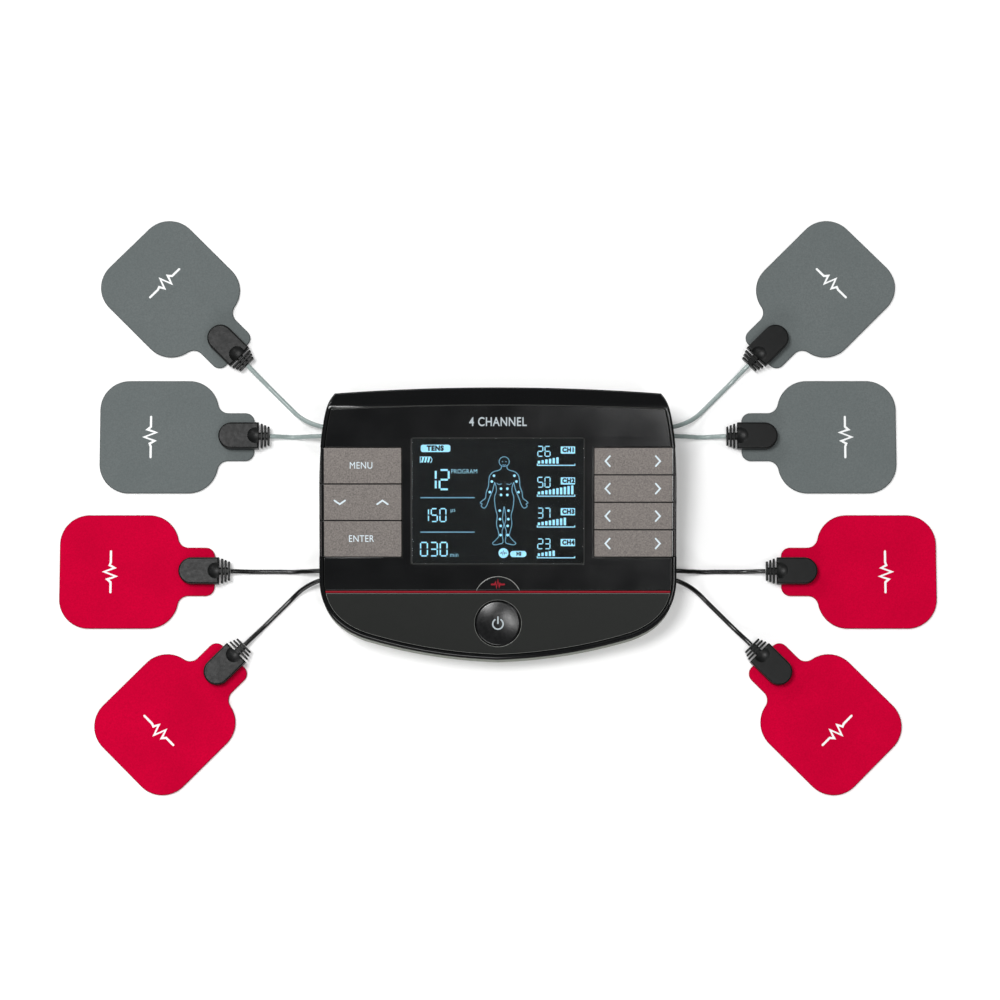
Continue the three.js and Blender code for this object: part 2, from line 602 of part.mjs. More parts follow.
// The pad's outline about its snap stud, with its tab along +x.
function padOutline() {
  const [tabX, tabY] = [TAB_END_X - TAB_CORNER, TAB_HALF - TAB_CORNER];
  const leftX = PAD_CENTRE_X - PAD_HALF + PAD_CORNER;
  const lean = Math.atan2(TAB_HALF + NECK_FILLET - PAD_CORNER_Y, NECK_X - PAD_RIGHT_X);
  const shape = new THREE.Shape();
  shape.absarc(tabX, tabY, TAB_CORNER, 0, QUARTER_TURN);
  shape.absarc(NECK_X, TAB_HALF + NECK_FILLET, NECK_FILLET, -QUARTER_TURN, lean - Math.PI, true);
  shape.absarc(PAD_RIGHT_X, PAD_CORNER_Y, PAD_CORNER, lean, QUARTER_TURN);
  shape.absarc(leftX, PAD_CORNER_Y, PAD_CORNER, QUARTER_TURN, Math.PI);
  shape.absarc(leftX, -PAD_CORNER_Y, PAD_CORNER, Math.PI, 1.5 * Math.PI);
  shape.absarc(PAD_RIGHT_X, -PAD_CORNER_Y, PAD_CORNER, 1.5 * Math.PI, 2 * Math.PI - lean);
  shape.absarc(NECK_X, -TAB_HALF - NECK_FILLET, NECK_FILLET, Math.PI - lean, QUARTER_TURN, true);
  shape.absarc(tabX, -tabY, TAB_CORNER, 1.5 * Math.PI, 2 * Math.PI);
  return shape;
}

function padSolid() {
  const sheet = extrusion(padOutline(), 0, PAD_THICK, 3);
  return sheet.add(post(0, 0, STUD_RADIUS, PAD_THICK - 0.5, STUD_TOP, 12));
}

// The moulded snap connector about its stud, with the cable along +x: a round-ended body with the snap's
// cavity underneath, and a strain relief of fins on a spine.
function connectorSolid() {
  const shape = new THREE.Shape();
  shape.moveTo(CONNECTOR_END_X, -CONNECTOR_HALF);
  shape.lineTo(CONNECTOR_END_X, CONNECTOR_HALF);
  shape.absarc(0, 0, CONNECTOR_HALF, QUARTER_TURN, 1.5 * Math.PI);
  const body = extrusion(shape, CONNECTOR_LOW, CONNECTOR_TOP, 6);
  const cavity = post(0, 0, STUD_RADIUS + 0.7, 0, STUD_TOP + 0.4, 12);
  const spine = box([CONNECTOR_END_X - 1, -1.9, CORD_Z - 1.7], [RELIEF_END_X, 1.9, CORD_Z + 1.7]);
  const fins = [0, 1, 2].map((i) => {
    const x = CONNECTOR_END_X + 0.7 + 1.5 * i;
    const [halfWidth, halfHeight] = [5.3 - 0.5 * i, 2.3 - 0.15 * i];
    const [low, high] = [Math.max(CONNECTOR_LOW, CORD_Z - halfHeight), CORD_Z + halfHeight];
    return box([x, -halfWidth, low], [x + 0.8, halfWidth, high]);
  });
  return joined([body.subtract(cavity), spine, ...fins]);
}

function addPad(number, [studX, studY], turn, padFinish) {
  const pad = place(set, "pad_" + number, padSolid(), padFinish);
  const connector = place(set, "snap_connector_" + number, connectorSolid(), "connector");
  for (const piece of [pad, connector]) {
    piece.position.set(studX, studY, 0);
    piece.rotation.z = turn;
  }
}

function addLeadSets() {
  QUARTERS.forEach(([sideX, sideY], i) => {
    const channel = i + 1;
    const rear = sideY > 0;
    const [padFinish, leadFinish] = rear ? ["pad_grey", "lead_grey"] : ["pad_red", "lead_black"];
    const innerStud = rear ? INNER_STUD_REAR : INNER_STUD_FRONT;
    const innerLead = rear ? INNER_LEAD_REAR : INNER_LEAD_FRONT;
    const towardsUnit = sideX > 0 ? Math.PI : 0;
    const slant = (sideX * sideY * Math.PI) / 4;
    const mirrored = ([x, y]) => [sideX * x, sideY * y];
    addSocket("socket_" + channel, sideX, sideY);
    addPlug("plug_" + channel, sideX, sideY);
    addLead("lead_" + (2 * channel - 1), innerLead, sideX, sideY, leadFinish);
    addLead("lead_" + 2 * channel, OUTER_LEAD, sideX, sideY, leadFinish);
    addPad(2 * channel - 1, mirrored(innerStud), towardsUnit, padFinish);
    addPad(2 * channel, mirrored(OUTER_STUD), towardsUnit + slant, padFinish);
  });
}

addKeys();
addPowerButton();
addTopShell();
addBottomShell();
addInlays();
addElectronics();
addBatteries();
addBatteryCover();
addFeet();
addLeadSets();

export default set;
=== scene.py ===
"""The looks of a TENS unit laid out with its four two-way leads and eight press-stud electrode pads.

The CAD frame is loaded first. Shapes are drawn in millimetres, in the row frame or in the sloping panel's own
frame, and turned to metres as each piece is made.
"""

import math

import bmesh
import bpy
from mathutils import Matrix, Vector


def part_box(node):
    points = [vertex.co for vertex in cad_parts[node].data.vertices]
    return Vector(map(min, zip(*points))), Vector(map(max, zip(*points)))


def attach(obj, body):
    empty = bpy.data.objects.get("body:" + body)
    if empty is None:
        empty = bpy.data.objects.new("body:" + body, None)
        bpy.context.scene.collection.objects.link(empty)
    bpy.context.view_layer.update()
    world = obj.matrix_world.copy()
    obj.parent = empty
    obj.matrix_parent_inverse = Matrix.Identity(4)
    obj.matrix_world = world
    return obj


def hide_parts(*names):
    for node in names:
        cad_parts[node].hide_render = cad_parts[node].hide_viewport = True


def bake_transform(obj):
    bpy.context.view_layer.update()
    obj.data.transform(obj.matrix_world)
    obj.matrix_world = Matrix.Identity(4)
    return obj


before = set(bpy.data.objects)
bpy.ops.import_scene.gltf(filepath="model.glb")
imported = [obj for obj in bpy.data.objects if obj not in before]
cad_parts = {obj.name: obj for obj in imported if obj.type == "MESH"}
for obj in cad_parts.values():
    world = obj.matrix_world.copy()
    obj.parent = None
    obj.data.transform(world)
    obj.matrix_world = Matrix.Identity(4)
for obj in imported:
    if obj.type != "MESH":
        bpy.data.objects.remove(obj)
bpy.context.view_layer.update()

MM = 0.001
SIDES = (-1, 1)

# ---- sizes, in millimetres

CASE_HALF_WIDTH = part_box("top_shell")[1][0] / MM
CASE_FRONT_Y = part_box("top_shell")[0][1] / MM
CASE_REAR_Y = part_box("top_shell")[1][1] / MM
FLOOR_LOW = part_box("bottom_shell")[0][2] / MM
PARTING_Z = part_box("top_shell")[0][2] / MM
FLOOR_TOP = FLOOR_LOW + 2
WALL = 2.2
PARTING_STEP = 0.35
FIT_GAP = 0.3
FAR = 200
TOP_ROUNDING = 1.1
BOTTOM_ROUNDING = 1.8
WELD = 1e-4

PANEL_SLOPE = math.radians(12)
PANEL_Y = -40.9
PANEL_Z = 22.9
REAR_LINE_V = 81
SEAM_BOW = 1.9
REAR_FALL = math.radians(27)
CREST_SOFTNESS = 1.2
RIM = 1.8
INLAY_DEPTH = 2.0
DECK_BOTTOM = 3.6

WINDOW_HALF_WIDTH = 37
WINDOW_HALF_HEIGHT = 27
WINDOW_V = 39.3

KEY_INNER_X = 41.6
KEY_OUTER_X = 76.5
KEY_MID_X = 59
KEY_LOW_V = 15.3
KEY_HIGH_V = 62.3
KEY_GAP = 0.5
KEY_TOP = 0.4
KEY_BARE = 1.5
ROCKER_ARM = 11
LEG_HOLE_HALF = 2.6

POWER_V = -13.7
POWER_RADIUS = 9.5
STEM_HOLE_RADIUS = 3.6
BADGE_RADIUS = 10.4
BADGE_V = -3.5
STRIP_HALF = 0.35

PLUG_Y = 31.6
PLUG_Z = 7.0
PLUG_INNER_X = 59.6
PLUG_OUTER_X = 72
RECESS_INNER_X = 59
RECESS_HALF_WIDTH = 7.6
RECESS_TOP_Z = 12.5
RECESS_WALL = 1.4
PLUG_HALF_WIDTH = 4.75
PLUG_HALF_HEIGHT = 3.3
BORE_RADIUS = 1.9
PIN_TIP_X = 49

BAY_HALF_WIDTH = 31
BAY_FRONT_Y = -9
BAY_REAR_Y = 40
BAY_TOP_Z = 18.2
BAY_WALL = 1.6
COVER_HALF_WIDTH = 30
COVER_GAP = 0.35
COVER_TOP = 3.3

SCREWS = [(49, 40), (-49, 40), (45, -52), (-45, -52)]
POST_RADIUS = 4.4
HEAD_HOLE_RADIUS = 3.1
HEAD_HOLE_TOP = 5.5
SCREW_HOLE_RADIUS = 1.7

PAD_THICK = 1.6
PAD_HALF = 25.05
PAD_CORNER = 13
PAD_CENTRE_X = -33.25
PAD_RIGHT_X = -19.1
TAB_END_X = 9.8
TAB_HALF = 10.7
TAB_CORNER = 4
NECK_FILLET = 4.66
NECK_X = -1.75

CONNECTOR_LOW = 1.7
CONNECTOR_TOP = 6.9
CONNECTOR_HALF = 5.85
CONNECTOR_END_X = 11.9
RELIEF_END_X = 16.5
CORD_Z = 3.6

LEAD_RADIUS = 1.0
LEAD_SIDES = 16

# The plain pulse that stands in for every printed mark, along x.
PULSE = [
    (-9.0, 0), (-4.6, 0), (-3.3, 1.5), (-2.0, -2.3), (0.0, 2.9), (1.7, -1.7), (2.9, 0.5), (4.2, 0), (9.0, 0)
]

# [side in x, side in y] of channels 1 to 4: left rear, left front, right rear, right front.
QUARTERS = [(-1, 1), (-1, -1), (1, 1), (1, -1)]
INNER_STUD = {1: (117.1, 30.2), -1: (133.9, 29.6)}
OUTER_STUD = (122.4, 73.85)

# The leads' centrelines from plug to connector, for the rear-right quarter.
INNER_LEAD = {
    1: [
        (72.3, 29.8, 7.0), (74.4, 29.8, 7.0), (76.5, 29.8, 6.9), (78.5, 29.8, 6.5), (80.4, 29.8, 5.9),
        (82.2, 29.9, 5.1), (84.0, 29.9, 4.1), (85.7, 30.0, 3.1), (87.4, 30.0, 2.1), (89.2, 30.1, 1.4),
        (91.0, 30.1, 1.15), (92.9, 30.2, 1.35), (94.8, 30.2, 1.95), (96.6, 30.2, 2.75), (98.4, 30.2, 3.35),
        (100.3, 30.2, 3.6),
    ],
    -1: [
        (72.3, 29.8, 7.0), (74.4, 29.8, 7.0), (76.5, 29.8, 6.9), (78.5, 29.8, 6.5), (80.4, 29.8, 5.9),
        (82.2, 29.8, 5.1), (84.0, 29.8, 4.1), (85.7, 29.7, 3.1), (87.4, 29.7, 2.1), (89.2, 29.7, 1.4),
        (91.4, 29.7, 1.1), (95.0, 29.6, 1.05), (99.0, 29.6, 1.05), (103.0, 29.6, 1.05), (106.0, 29.6, 1.1),
        (108.6, 29.6, 1.4), (111.0, 29.6, 2.1), (113.2, 29.6, 2.9), (115.2, 29.6, 3.4), (117.1, 29.6, 3.6),
    ],
}
OUTER_LEAD = [
    (72.3, 33.4, 7.0), (74.1, 33.5, 7.0), (76.1, 33.8, 6.9), (78.2, 34.2, 6.6), (80.2, 34.9, 6.0),
    (82.1, 35.7, 5.2), (84.0, 36.7, 4.3), (85.8, 37.8, 3.3), (87.4, 39.0, 2.4), (89.0, 40.4, 1.7),
    (90.8, 42.2, 1.2), (93.0, 44.4, 1.05), (96.0, 47.4, 1.05), (99.0, 50.4, 1.05), (101.5, 52.9, 1.1),
    (103.6, 55.0, 1.4), (105.4, 56.8, 2.0), (107.1, 58.5, 2.7), (108.8, 60.2, 3.3), (110.5, 61.95, 3.6),
]

PANEL = Matrix.Translation((0, PANEL_Y, PANEL_Z)) @ Matrix.Rotation(PANEL_SLOPE, 4, "X")
ALONG_X = Matrix.Rotation(math.pi / 2, 4, "Y")


# ---- mesh helpers


def shown(data, name="working"):
    """A new object in the scene, by default a temporary one whose modifiers baked() applies."""
    made = bpy.data.objects.new(name, data)
    bpy.context.scene.collection.objects.link(made)
    return made


def baked(temp):
    """The mesh of a temporary object with its modifiers applied; the object goes."""
    evaluated = temp.evaluated_get(bpy.context.evaluated_depsgraph_get())
    mesh = bpy.data.meshes.new_from_object(evaluated)
    bpy.data.objects.remove(temp)
    return mesh


def moved(mesh, matrix):
    mesh.transform(matrix)
    if matrix.determinant() < 0:
        mesh.flip_normals()
    return mesh


def written(work, mesh=None):
    """The mesh that a bmesh is written to, a new one unless it is given; the bmesh goes."""
    if mesh is None:
        mesh = bpy.data.meshes.new("made")
    work.to_mesh(mesh)
    work.free()
    return mesh


def joined(*meshes):
    work = bmesh.new()
    for mesh in meshes:
        work.from_mesh(mesh)
    return written(work)


def shift(x=0, y=0, z=0):
    return Matrix.Translation((x, y, z))


def at_height(loop, z):
    return [(x, y, z) for x, y in loop]


def edges(loop):
    """Pairs of neighbouring points around a loop, from its last point and its first on."""
    return zip(loop[-1:] + loop[:-1], loop)


def boolean(operation, mesh, *tools):
    """The mesh after the operation with each of the tools in turn."""
    for tool in tools:
        temp, other = shown(mesh), shown(tool)
        step = temp.modifiers.new("boolean", "BOOLEAN")
        step.operation, step.solver, step.object = operation, "MANIFOLD", other
        mesh = baked(temp)
        bpy.data.objects.remove(other)
    return mesh


def cut(mesh, *cutters):
    return boolean("DIFFERENCE", mesh, *cutters)


def plate(loops, low, high, rounding=0.0, steps=3):
    """A flat plate between two heights, from closed outlines, holes included, with rounded edges."""
    curve = bpy.data.curves.new("plate", "CURVE")
    curve.dimensions = "2D"
    curve.fill_mode = "BOTH"
    curve.extrude = (high - low) / 2 - rounding
    if rounding:
        curve.bevel_depth = rounding
        curve.bevel_resolution = steps
        curve.offset = -rounding
    for loop in loops:
        spline = curve.splines.new("POLY")
        spline.points.add(len(loop) - 1)
        for point, (x, y) in zip(spline.points, loop):
            point.co = (x, y, 0, 1)
        spline.use_cyclic_u = True
    mesh = baked(shown(curve))
    work = bmesh.new()
    work.from_mesh(mesh)
    bmesh.ops.remove_doubles(work, verts=work.verts, dist=WELD)
    bmesh.ops.recalc_face_normals(work, faces=work.faces)
    return moved(written(work, mesh), shift(z=(low + high) / 2))


def prisms(loops, low, high):
    """A straight-sided prism for each closed outline; they may cross each other."""
    work = bmesh.new()
    for loop in loops:
        bottom, top = [[work.verts.new(point) for point in at_height(loop, z)] for z in (low, high)]
        work.faces.new(reversed(bottom))
        work.faces.new(top)
        for i in range(len(loop)):
            work.faces.new((bottom[i - 1], bottom[i], top[i], top[i - 1]))
    bmesh.ops.recalc_face_normals(work, faces=work.faces)
    return written(work)


def loft(rings):
    """Skins a stack of rings of the same number of points and caps the first and the last."""
    work = bmesh.new()
    rows = [[work.verts.new(point) for point in ring] for ring in rings]
    count = len(rows[0])
    for lower, upper in zip(rows, rows[1:]):
        for i in range(count):
            j = (i + 1) % count
            work.faces.new((lower[i], lower[j], upper[j], upper[i]))
    caps = [work.faces.new(reversed(rows[0])), work.faces.new(rows[-1])]
    bmesh.ops.triangulate(work, faces=caps)
    bmesh.ops.remove_doubles(work, verts=work.verts, dist=WELD)
    bmesh.ops.dissolve_degenerate(work, edges=work.edges, dist=WELD)
    bmesh.ops.recalc_face_normals(work, faces=work.faces)
    return written(work)


def block(low, high):
    (x0, y0, z0), (x1, y1, z1) = low, high
    base = [(x0, y0), (x1, y0), (x1, y1), (x0, y1)]
    return loft([at_height(base, z) for z in (z0, z1)])


def circle(x, y, radius, count=48):
    turns = [2 * math.pi * i / count for i in range(count)]
    return [(x + radius * math.cos(t), y + radius * math.sin(t)) for t in turns]


def arc(x, y, radius, start, end, count=8):
    """Points of an arc, angles in degrees."""
    angles = [math.radians(start + (end - start) * i / count) for i in range(count + 1)]
    return [(x + radius * math.cos(a), y + radius * math.sin(a)) for a in angles]


def rounded_rectangle(half_width, half_height, radius, x=0, y=0, count=6):
    w, h = half_width - radius, half_height - radius
    corners = [(w, h, 0), (-w, h, 90), (-w, -h, 180), (w, -h, 270)]
    return [p for cx, cy, turn in corners for p in arc(x + cx, y + cy, radius, turn, turn + 90, count)]


def turned(profile, count=48):
    """A solid of revolution about z from (radius, height) points, with flat caps at its ends."""
    return loft([at_height(circle(0, 0, radius, count), z) for radius, z in profile])


def rod(a, b, radius):
    """A cylinder between two points."""
    a, b = Vector(a), Vector(b)
    turn = (b - a).to_track_quat("Z", "Y").to_matrix().to_4x4()
    body = plate([circle(0, 0, radius, 24)], 0, (b - a).length)
    return moved(body, Matrix.Translation(a) @ turn)


def stroke(points, width, count=5):
    """The outline of a line of that width along points, with round ends."""
    points = [Vector(p) for p in points]
    left, right = [], []
    for i, point in enumerate(points):
        before = (point - points[i - 1]).normalized() if i else None
        after = (points[i + 1] - point).normalized() if i + 1 < len(points) else None
        along = ((before or after) + (after or before)).normalized()
        side = Vector((-along.y, along.x))
        reach = width / 2 / max(0.5, side.dot(Vector((-(after or before).y, (after or before).x))))
        left.append(point + side * reach)
        right.append(point - side * reach)

    def cap(point, towards):
        turn = math.degrees(math.atan2(towards.y, towards.x))
        return arc(point.x, point.y, width / 2, turn - 90, turn + 90, count)[1:-1]

    end = cap(points[-1], points[-1] - points[-2])
    start = cap(points[0], points[0] - points[1])
    return [tuple(p) for p in right] + end + [tuple(p) for p in reversed(left)] + start


def lettering(text, size, x, y, low, high, align="CENTER", width=0.86, weight=0.0):
    """Flat capitals of that height between two heights; width and weight narrow and thicken them."""
    curve = bpy.data.curves.new("letters", "FONT")
    curve.body = text
    curve.size = size * 1.38
    curve.align_x = align
    curve.align_y = "CENTER"
    curve.space_character = 1.06 + abs(weight)
    curve.extrude = (high - low) / 2
    curve.offset = size * weight
    place = shift(x, y, (low + high) / 2) @ Matrix.Diagonal((width, 1, 1, 1))
    return moved(baked(shown(curve)), place)


def bevelled(face):
    """Whether a plate's face is part of its rounded upper edge."""
    return 0.2 < face.normal.z < 0.97


def steep(face):
    """Whether a face is part of a side wall or of the lower half of the rounding above it."""
    return abs(face.normal.z) < 0.65


def piece(
    name, mesh, finish, slot, node=None, body="unit", angle=32, panel=False, second=None, where=bevelled
):
    """Turns a mesh in millimetres into a piece that rides on a body and stands for a CAD node.

    The second finish is for the faces that where picks. Edges sharper than angle degrees stay sharp.
    """
    mesh.materials.clear()
    for look in (finish, second):
        if look:
            mesh.materials.append(FINISH[look])
    work = bmesh.new()
    work.from_mesh(mesh)
    for face in work.faces:
        face.smooth = True
        face.material_index = int(second is not None and where(face))
    for edge in work.edges:
        edge.smooth = edge.calc_face_angle(0) < math.radians(angle)
    written(work, mesh)
    if panel:
        moved(mesh, PANEL)
    mesh.transform(Matrix.Scale(MM, 4))
    temp = shown(mesh)
    temp.modifiers.new("normals", "WEIGHTED_NORMAL").keep_sharp = True
    made = shown(baked(temp), name)
    if body:
        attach(made, body)
    if node:
        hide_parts(node)
    return made


# ---- camera and light


def add_camera():
    """Above the set, a few degrees towards its front, with a long lens."""
    distance, tilt, span = 1.6, math.radians(8), 0.44
    data = bpy.data.cameras.new("camera")
    data.sensor_width = 36
    data.lens = data.sensor_width * distance / span
    data.clip_start, data.clip_end = 0.1, 20
    camera = shown(data, "camera")
    target = Vector((0.0009, 0.0024, 0.0))
    camera.location = target + Vector((0, -math.sin(tilt), math.cos(tilt))) * distance
    camera.rotation_euler = (tilt, 0, 0)
    bpy.context.scene.camera = camera


def add_light(name, place, size, power):
    data = bpy.data.lights.new(name, "AREA")
    data.shape = "RECTANGLE"
    data.size, data.size_y = size
    data.energy = power
    light = shown(data, name)
    light.location = place
    light.rotation_euler = (-Vector(place)).to_track_quat("-Z", "Y").to_euler()


def add_stage():
    scene = bpy.context.scene
    scene.view_settings.view_transform = "Standard"
    world = bpy.data.worlds.new("studio")
    world.use_nodes = True
    background = world.node_tree.nodes["Background"]
    background.inputs["Color"].default_value = (1, 1, 1, 1)
    background.inputs["Strength"].default_value = 0.09
    scene.world = world
    add_light("key", (-0.6, 0.28, 2.4), (0.7, 0.7), 38)
    add_light("rear", (-1.3, 1.8, 1.3), (1.6, 0.8), 20)
    add_light("strip", (0.5, -0.6, 2.2), (0.25, 0.7), 9)
    add_light("right", (1.2, 0.38, 2.04), (0.4, 1.0), 4)
    add_light("front", (-0.7, -1.9, 1.2), (1.6, 0.6), 16)
    mesh = loft([at_height(circle(0, 0, 3000, 64), z) for z in (-20, -0.02)])
    mesh.transform(Matrix.Scale(MM, 4))
    mesh.materials.append(FINISH["floor"])
    floor = shown(mesh, "floor")


# ---- finishes


def linear(code):
    """A linear colour from a hexadecimal sRGB one."""
    parts = [int(code[i : i + 2], 16) / 255 for i in (0, 2, 4)]
    return tuple(c / 12.92 if c <= 0.04045 else ((c + 0.055) / 1.055) ** 2.4 for c in parts)


class Finish:
    """A Principled material whose colour, roughness and bump follow noise in the object's coordinates."""

    def __init__(self, name, colour, roughness, metallic=0.0, **sockets):
        self.material = bpy.data.materials.new(name)
        self.material.use_nodes = True
        self.tree = self.material.node_tree
        self.shader = self.tree.nodes["Principled BSDF"]
        colour = (*linear(colour), 1)
        self.feed(self.shader, Base_Color=colour, Roughness=roughness, Metallic=metallic, **sockets)
        self.place = self.node("TexCoord").outputs["Object"]
        self.normal = None
        FINISH[name] = self.material

    def feed(self, node, **inputs):
        """Sets inputs of a node or links them to other nodes' outputs; _ stands for a space in a name."""
        for key, value in inputs.items():
            socket = node.inputs[key.replace("_", " ")]
            if isinstance(value, bpy.types.NodeSocket):
                self.tree.links.new(value, socket)
            else:
                socket.default_value = value
        return node

    def node(self, kind, **inputs):
        return self.feed(self.tree.nodes.new("ShaderNode" + kind), **inputs)

    def texture(self, kind, size, stretch=(1, 1, 1), **inputs):
        """A texture node with grains or cells about size millimetres across."""
        mapping = self.node("Mapping", Vector=self.place, Scale=[s / (size * MM) for s in stretch])
        return self.node(kind, Vector=mapping.outputs["Vector"], Scale=1.0, **inputs)

    def noise(self, size, detail=2.0, stretch=(1, 1, 1)):
        return self.texture("TexNoise", size, stretch, Detail=detail).outputs["Fac"]

    def cells(self, size):
        """Distance from the nearest of many scattered points."""
        return self.texture("TexVoronoi", size).outputs["Distance"]

    def weave(self, pitch, turn):
        """Crossed threads at that pitch in millimetres, turned by that angle."""
        mapping = self.node("Mapping", Vector=self.place, Rotation=(0, 0, turn))
        crossed = self.node("Math")
        crossed.operation = "MULTIPLY"
        for axis, socket in zip("XY", crossed.inputs):
            wave = self.node("TexWave", Vector=mapping.outputs["Vector"], Distortion=0.6)
            wave.inputs["Scale"].default_value = WAVE_BAND / (pitch * MM)
            wave.bands_direction = axis
            self.tree.links.new(wave.outputs["Fac"], socket)
        return crossed.outputs[0]

    def spread(self, pattern, low, high):
        """The pattern's values from 0.3 to 0.7, as values from low to high."""
        node = self.node("MapRange", Value=pattern, From_Min=0.3, From_Max=0.7, To_Min=low, To_Max=high)
        return node.outputs["Result"]

    def tint(self, pattern, low, high, other=None):
        """Multiplies the colour so far by low to high with the pattern, or mixes in that much of another."""
        base = self.shader.inputs["Base Color"]
        below = base.links[0].from_socket if base.is_linked else base.default_value
        share = self.spread(pattern, low, high)
        mix = self.node("Mix")
        mix.data_type = "RGBA"
        if other:
            self.feed(mix, A=below, B=(*linear(other), 1), Factor=share)
        else:
            mix.blend_type = "MULTIPLY"
            self.feed(mix, A=below, B=share, Factor=1.0)
        self.feed(self.shader, Base_Color=mix.outputs["Result"])

    def rough(self, pattern, low, high):
        self.feed(self.shader, Roughness=self.spread(pattern, low, high))

    def bump(self, pattern, height):
        """Raises the pattern by height millimetres, on top of earlier bumps."""
        node = self.node("Bump", Height=pattern, Distance=height * MM, Strength=1.0)
        if self.normal:
            self.feed(node, Normal=self.normal)
        self.normal = node.outputs["Normal"]
        self.feed(self.shader, Normal=self.normal)


FINISH = {}

# How far apart a wave texture's bands are at scale 1.
WAVE_BAND = 0.314


def gloss(name, colour, roughness, shine=0.5):
    """Moulded gloss plastic: faint orange peel, and smudges that dull it a little."""
    look = Finish(name, colour, roughness, Specular_IOR_Level=shine)
    look.rough(look.noise(14, 3), roughness * 0.85, roughness * 1.2)
    look.tint(look.noise(30, 2), 0.95, 1.06)
    look.bump(look.noise(2.4, 1), 0.004)


def matt(name, colour, roughness, grain, depth, low=0.86, high=1.14, shine=0.5):
    """Moulded or painted plastic with a fine spark-eroded grain."""
    look = Finish(name, colour, roughness, Specular_IOR_Level=shine)
    fine = look.noise(grain, 3)
    look.tint(fine, low, high)
    look.tint(look.noise(22, 2), 0.95, 1.05)
    look.rough(look.noise(grain * 3, 2), roughness * 0.88, roughness * 1.12)
    look.bump(fine, depth)


def fabric(name, colour, shade):
    """Tightly knitted pad backing: fine crossed threads, fibre fuzz and slow changes of tone."""
    look = Finish(name, colour, 0.85, Specular_IOR_Level=0.03)
    threads = look.weave(0.34, math.radians(18))
    fuzz = look.noise(0.7, 4)
    look.tint(fuzz, 0.88, 1.1)
    look.tint(threads, 0.94, 1.05)
    look.tint(look.noise(26, 2), 0.0, 0.35, shade)
    look.bump(threads, 0.02)
    look.bump(fuzz, 0.02)


def make_finishes():
    floor = Finish("floor", "ececec", 0.6, Emission_Color=(1, 1, 1, 1), Emission_Strength=0.17)
    floor.tint(floor.noise(60, 2), 0.985, 1.0)

    gloss("gloss_black", "0b0c0d", 0.13)
    # Lighter gloss for rounded edges and thin strips along edges: painted highlights where light catches the
    # edges.
    gloss("edge_glint", "8c8e8a", 0.3)
    gloss("soft_edge_highlight", "2a2b29", 0.4, 0.2)
    gloss("red_gloss", "8c0a1e", 0.35, 0.15)
    matt("cover_charcoal", "161816", 0.4, 0.4, 0.012, 0.9, 1.1, 0.16)
    matt("wall_black", "141414", 0.6, 0.5, 0.006, 0.95, 1.05, 0.01)
    matt("case_grey", "797d73", 0.5, 0.5, 0.008, 0.95, 1.05, 0.12)
    matt("connector_black", "0f1010", 0.38, 0.5, 0.012, 0.9, 1.1, 0.16)
    matt("rubber_black", "1d1d1d", 0.85, 0.6, 0.03)
    matt("socket_black", "141414", 0.55, 0.5, 0.01)
    matt("silicone", "c9c9c2", 0.7, 0.8, 0.01)
    matt("print_white", "eef0f0", 0.6, 0.8, 0.004, 0.97, 1.03)
    matt("print_blue_white", "cfdde4", 0.5, 0.6, 0.004, 0.95, 1.05)
    matt("print_steel", "a9b3b8", 0.45, 0.6, 0.004, 0.95, 1.05)
    matt("button_black", "0b0c0d", 0.24, 0.5, 0.004, 0.95, 1.05, 0.5)

    keys = Finish("key_silver", "6c6662", 0.46, 0.35)
    coarse, fine = keys.noise(0.62, 2), keys.noise(0.3, 2)
    keys.tint(coarse, 0.62, 1.36)
    keys.tint(fine, 0.8, 1.2)
    keys.rough(coarse, 0.38, 0.56)
    keys.bump(coarse, 0.012)
    keys.bump(fine, 0.008)

    fabric("pad_grey", "686e6e", "5d6464")
    fabric("pad_red", "c80033", "a60028")
    # Darker copies of the pad finishes for the backings' rounded edges: painted shade.
    fabric("pad_grey_edge", "3f4545", "3a4040")
    fabric("pad_red_edge", "7c001a", "700018")

    gel = Finish("gel", "d9dcc8", 0.22, Transmission_Weight=0.55, IOR=1.4, Subsurface_Weight=0.2)
    gel.tint(gel.noise(8, 3), 0.9, 1.05)
    gel.bump(gel.noise(3, 2), 0.05)

    for name, colour in (("lead_grey", "929f9d"), ("lead_black", "080808")):
        sheath = Finish(name, colour, 0.24)
        sheath.tint(sheath.noise(1.6, 3), 0.93, 1.06)
        sheath.rough(sheath.noise(5, 2), 0.2, 0.28)
        sheath.bump(sheath.noise(0.5, 2), 0.004)

    steel = Finish("nickel", "c3c6c8", 0.28, 1.0)
    steel.rough(steel.noise(1.2, 3, (1, 6, 1)), 0.2, 0.4)
    steel.tint(steel.noise(4, 3), 0.88, 1.05)

    screw = Finish("zinc_screw", "9a9ca0", 0.35, 1.0)
    screw.rough(screw.noise(0.6, 3), 0.25, 0.5)
    screw.tint(screw.noise(1.5, 3), 0.8, 1.08)

    glass = Finish("window_glass", "e8eef0", 0.03, Transmission_Weight=1.0, IOR=1.46)
    glass.rough(glass.noise(16, 3), 0.015, 0.05)

    lcd = Finish("lcd_dark", "0a0d0c", 0.5, Specular_IOR_Level=0.2)
    lcd.tint(lcd.noise(0.3, 2), 0.92, 1.08)
    lcd.tint(lcd.noise(24, 2), 0.94, 1.06)

    for name, colour, power in (("segment_bright", "a4def2", 0.8), ("segment_soft", "74aac2", 0.6)):
        lit = Finish(name, colour, 0.5, Emission_Color=(*linear(colour), 1), Emission_Strength=power)
        lit.tint(lit.noise(2, 2), 0.95, 1.05)

    board = Finish("board_green", "145a30", 0.4)
    board.tint(board.cells(3.0), 0.8, 1.2)
    board.bump(board.noise(0.8, 2), 0.02)

    sleeve = Finish("battery_sleeve", "2a5a9c", 0.3)
    sleeve.tint(sleeve.noise(9, 2), 0.9, 1.08)
    sleeve.rough(sleeve.noise(2, 3), 0.22, 0.4)


# ---- the case's outline and surface


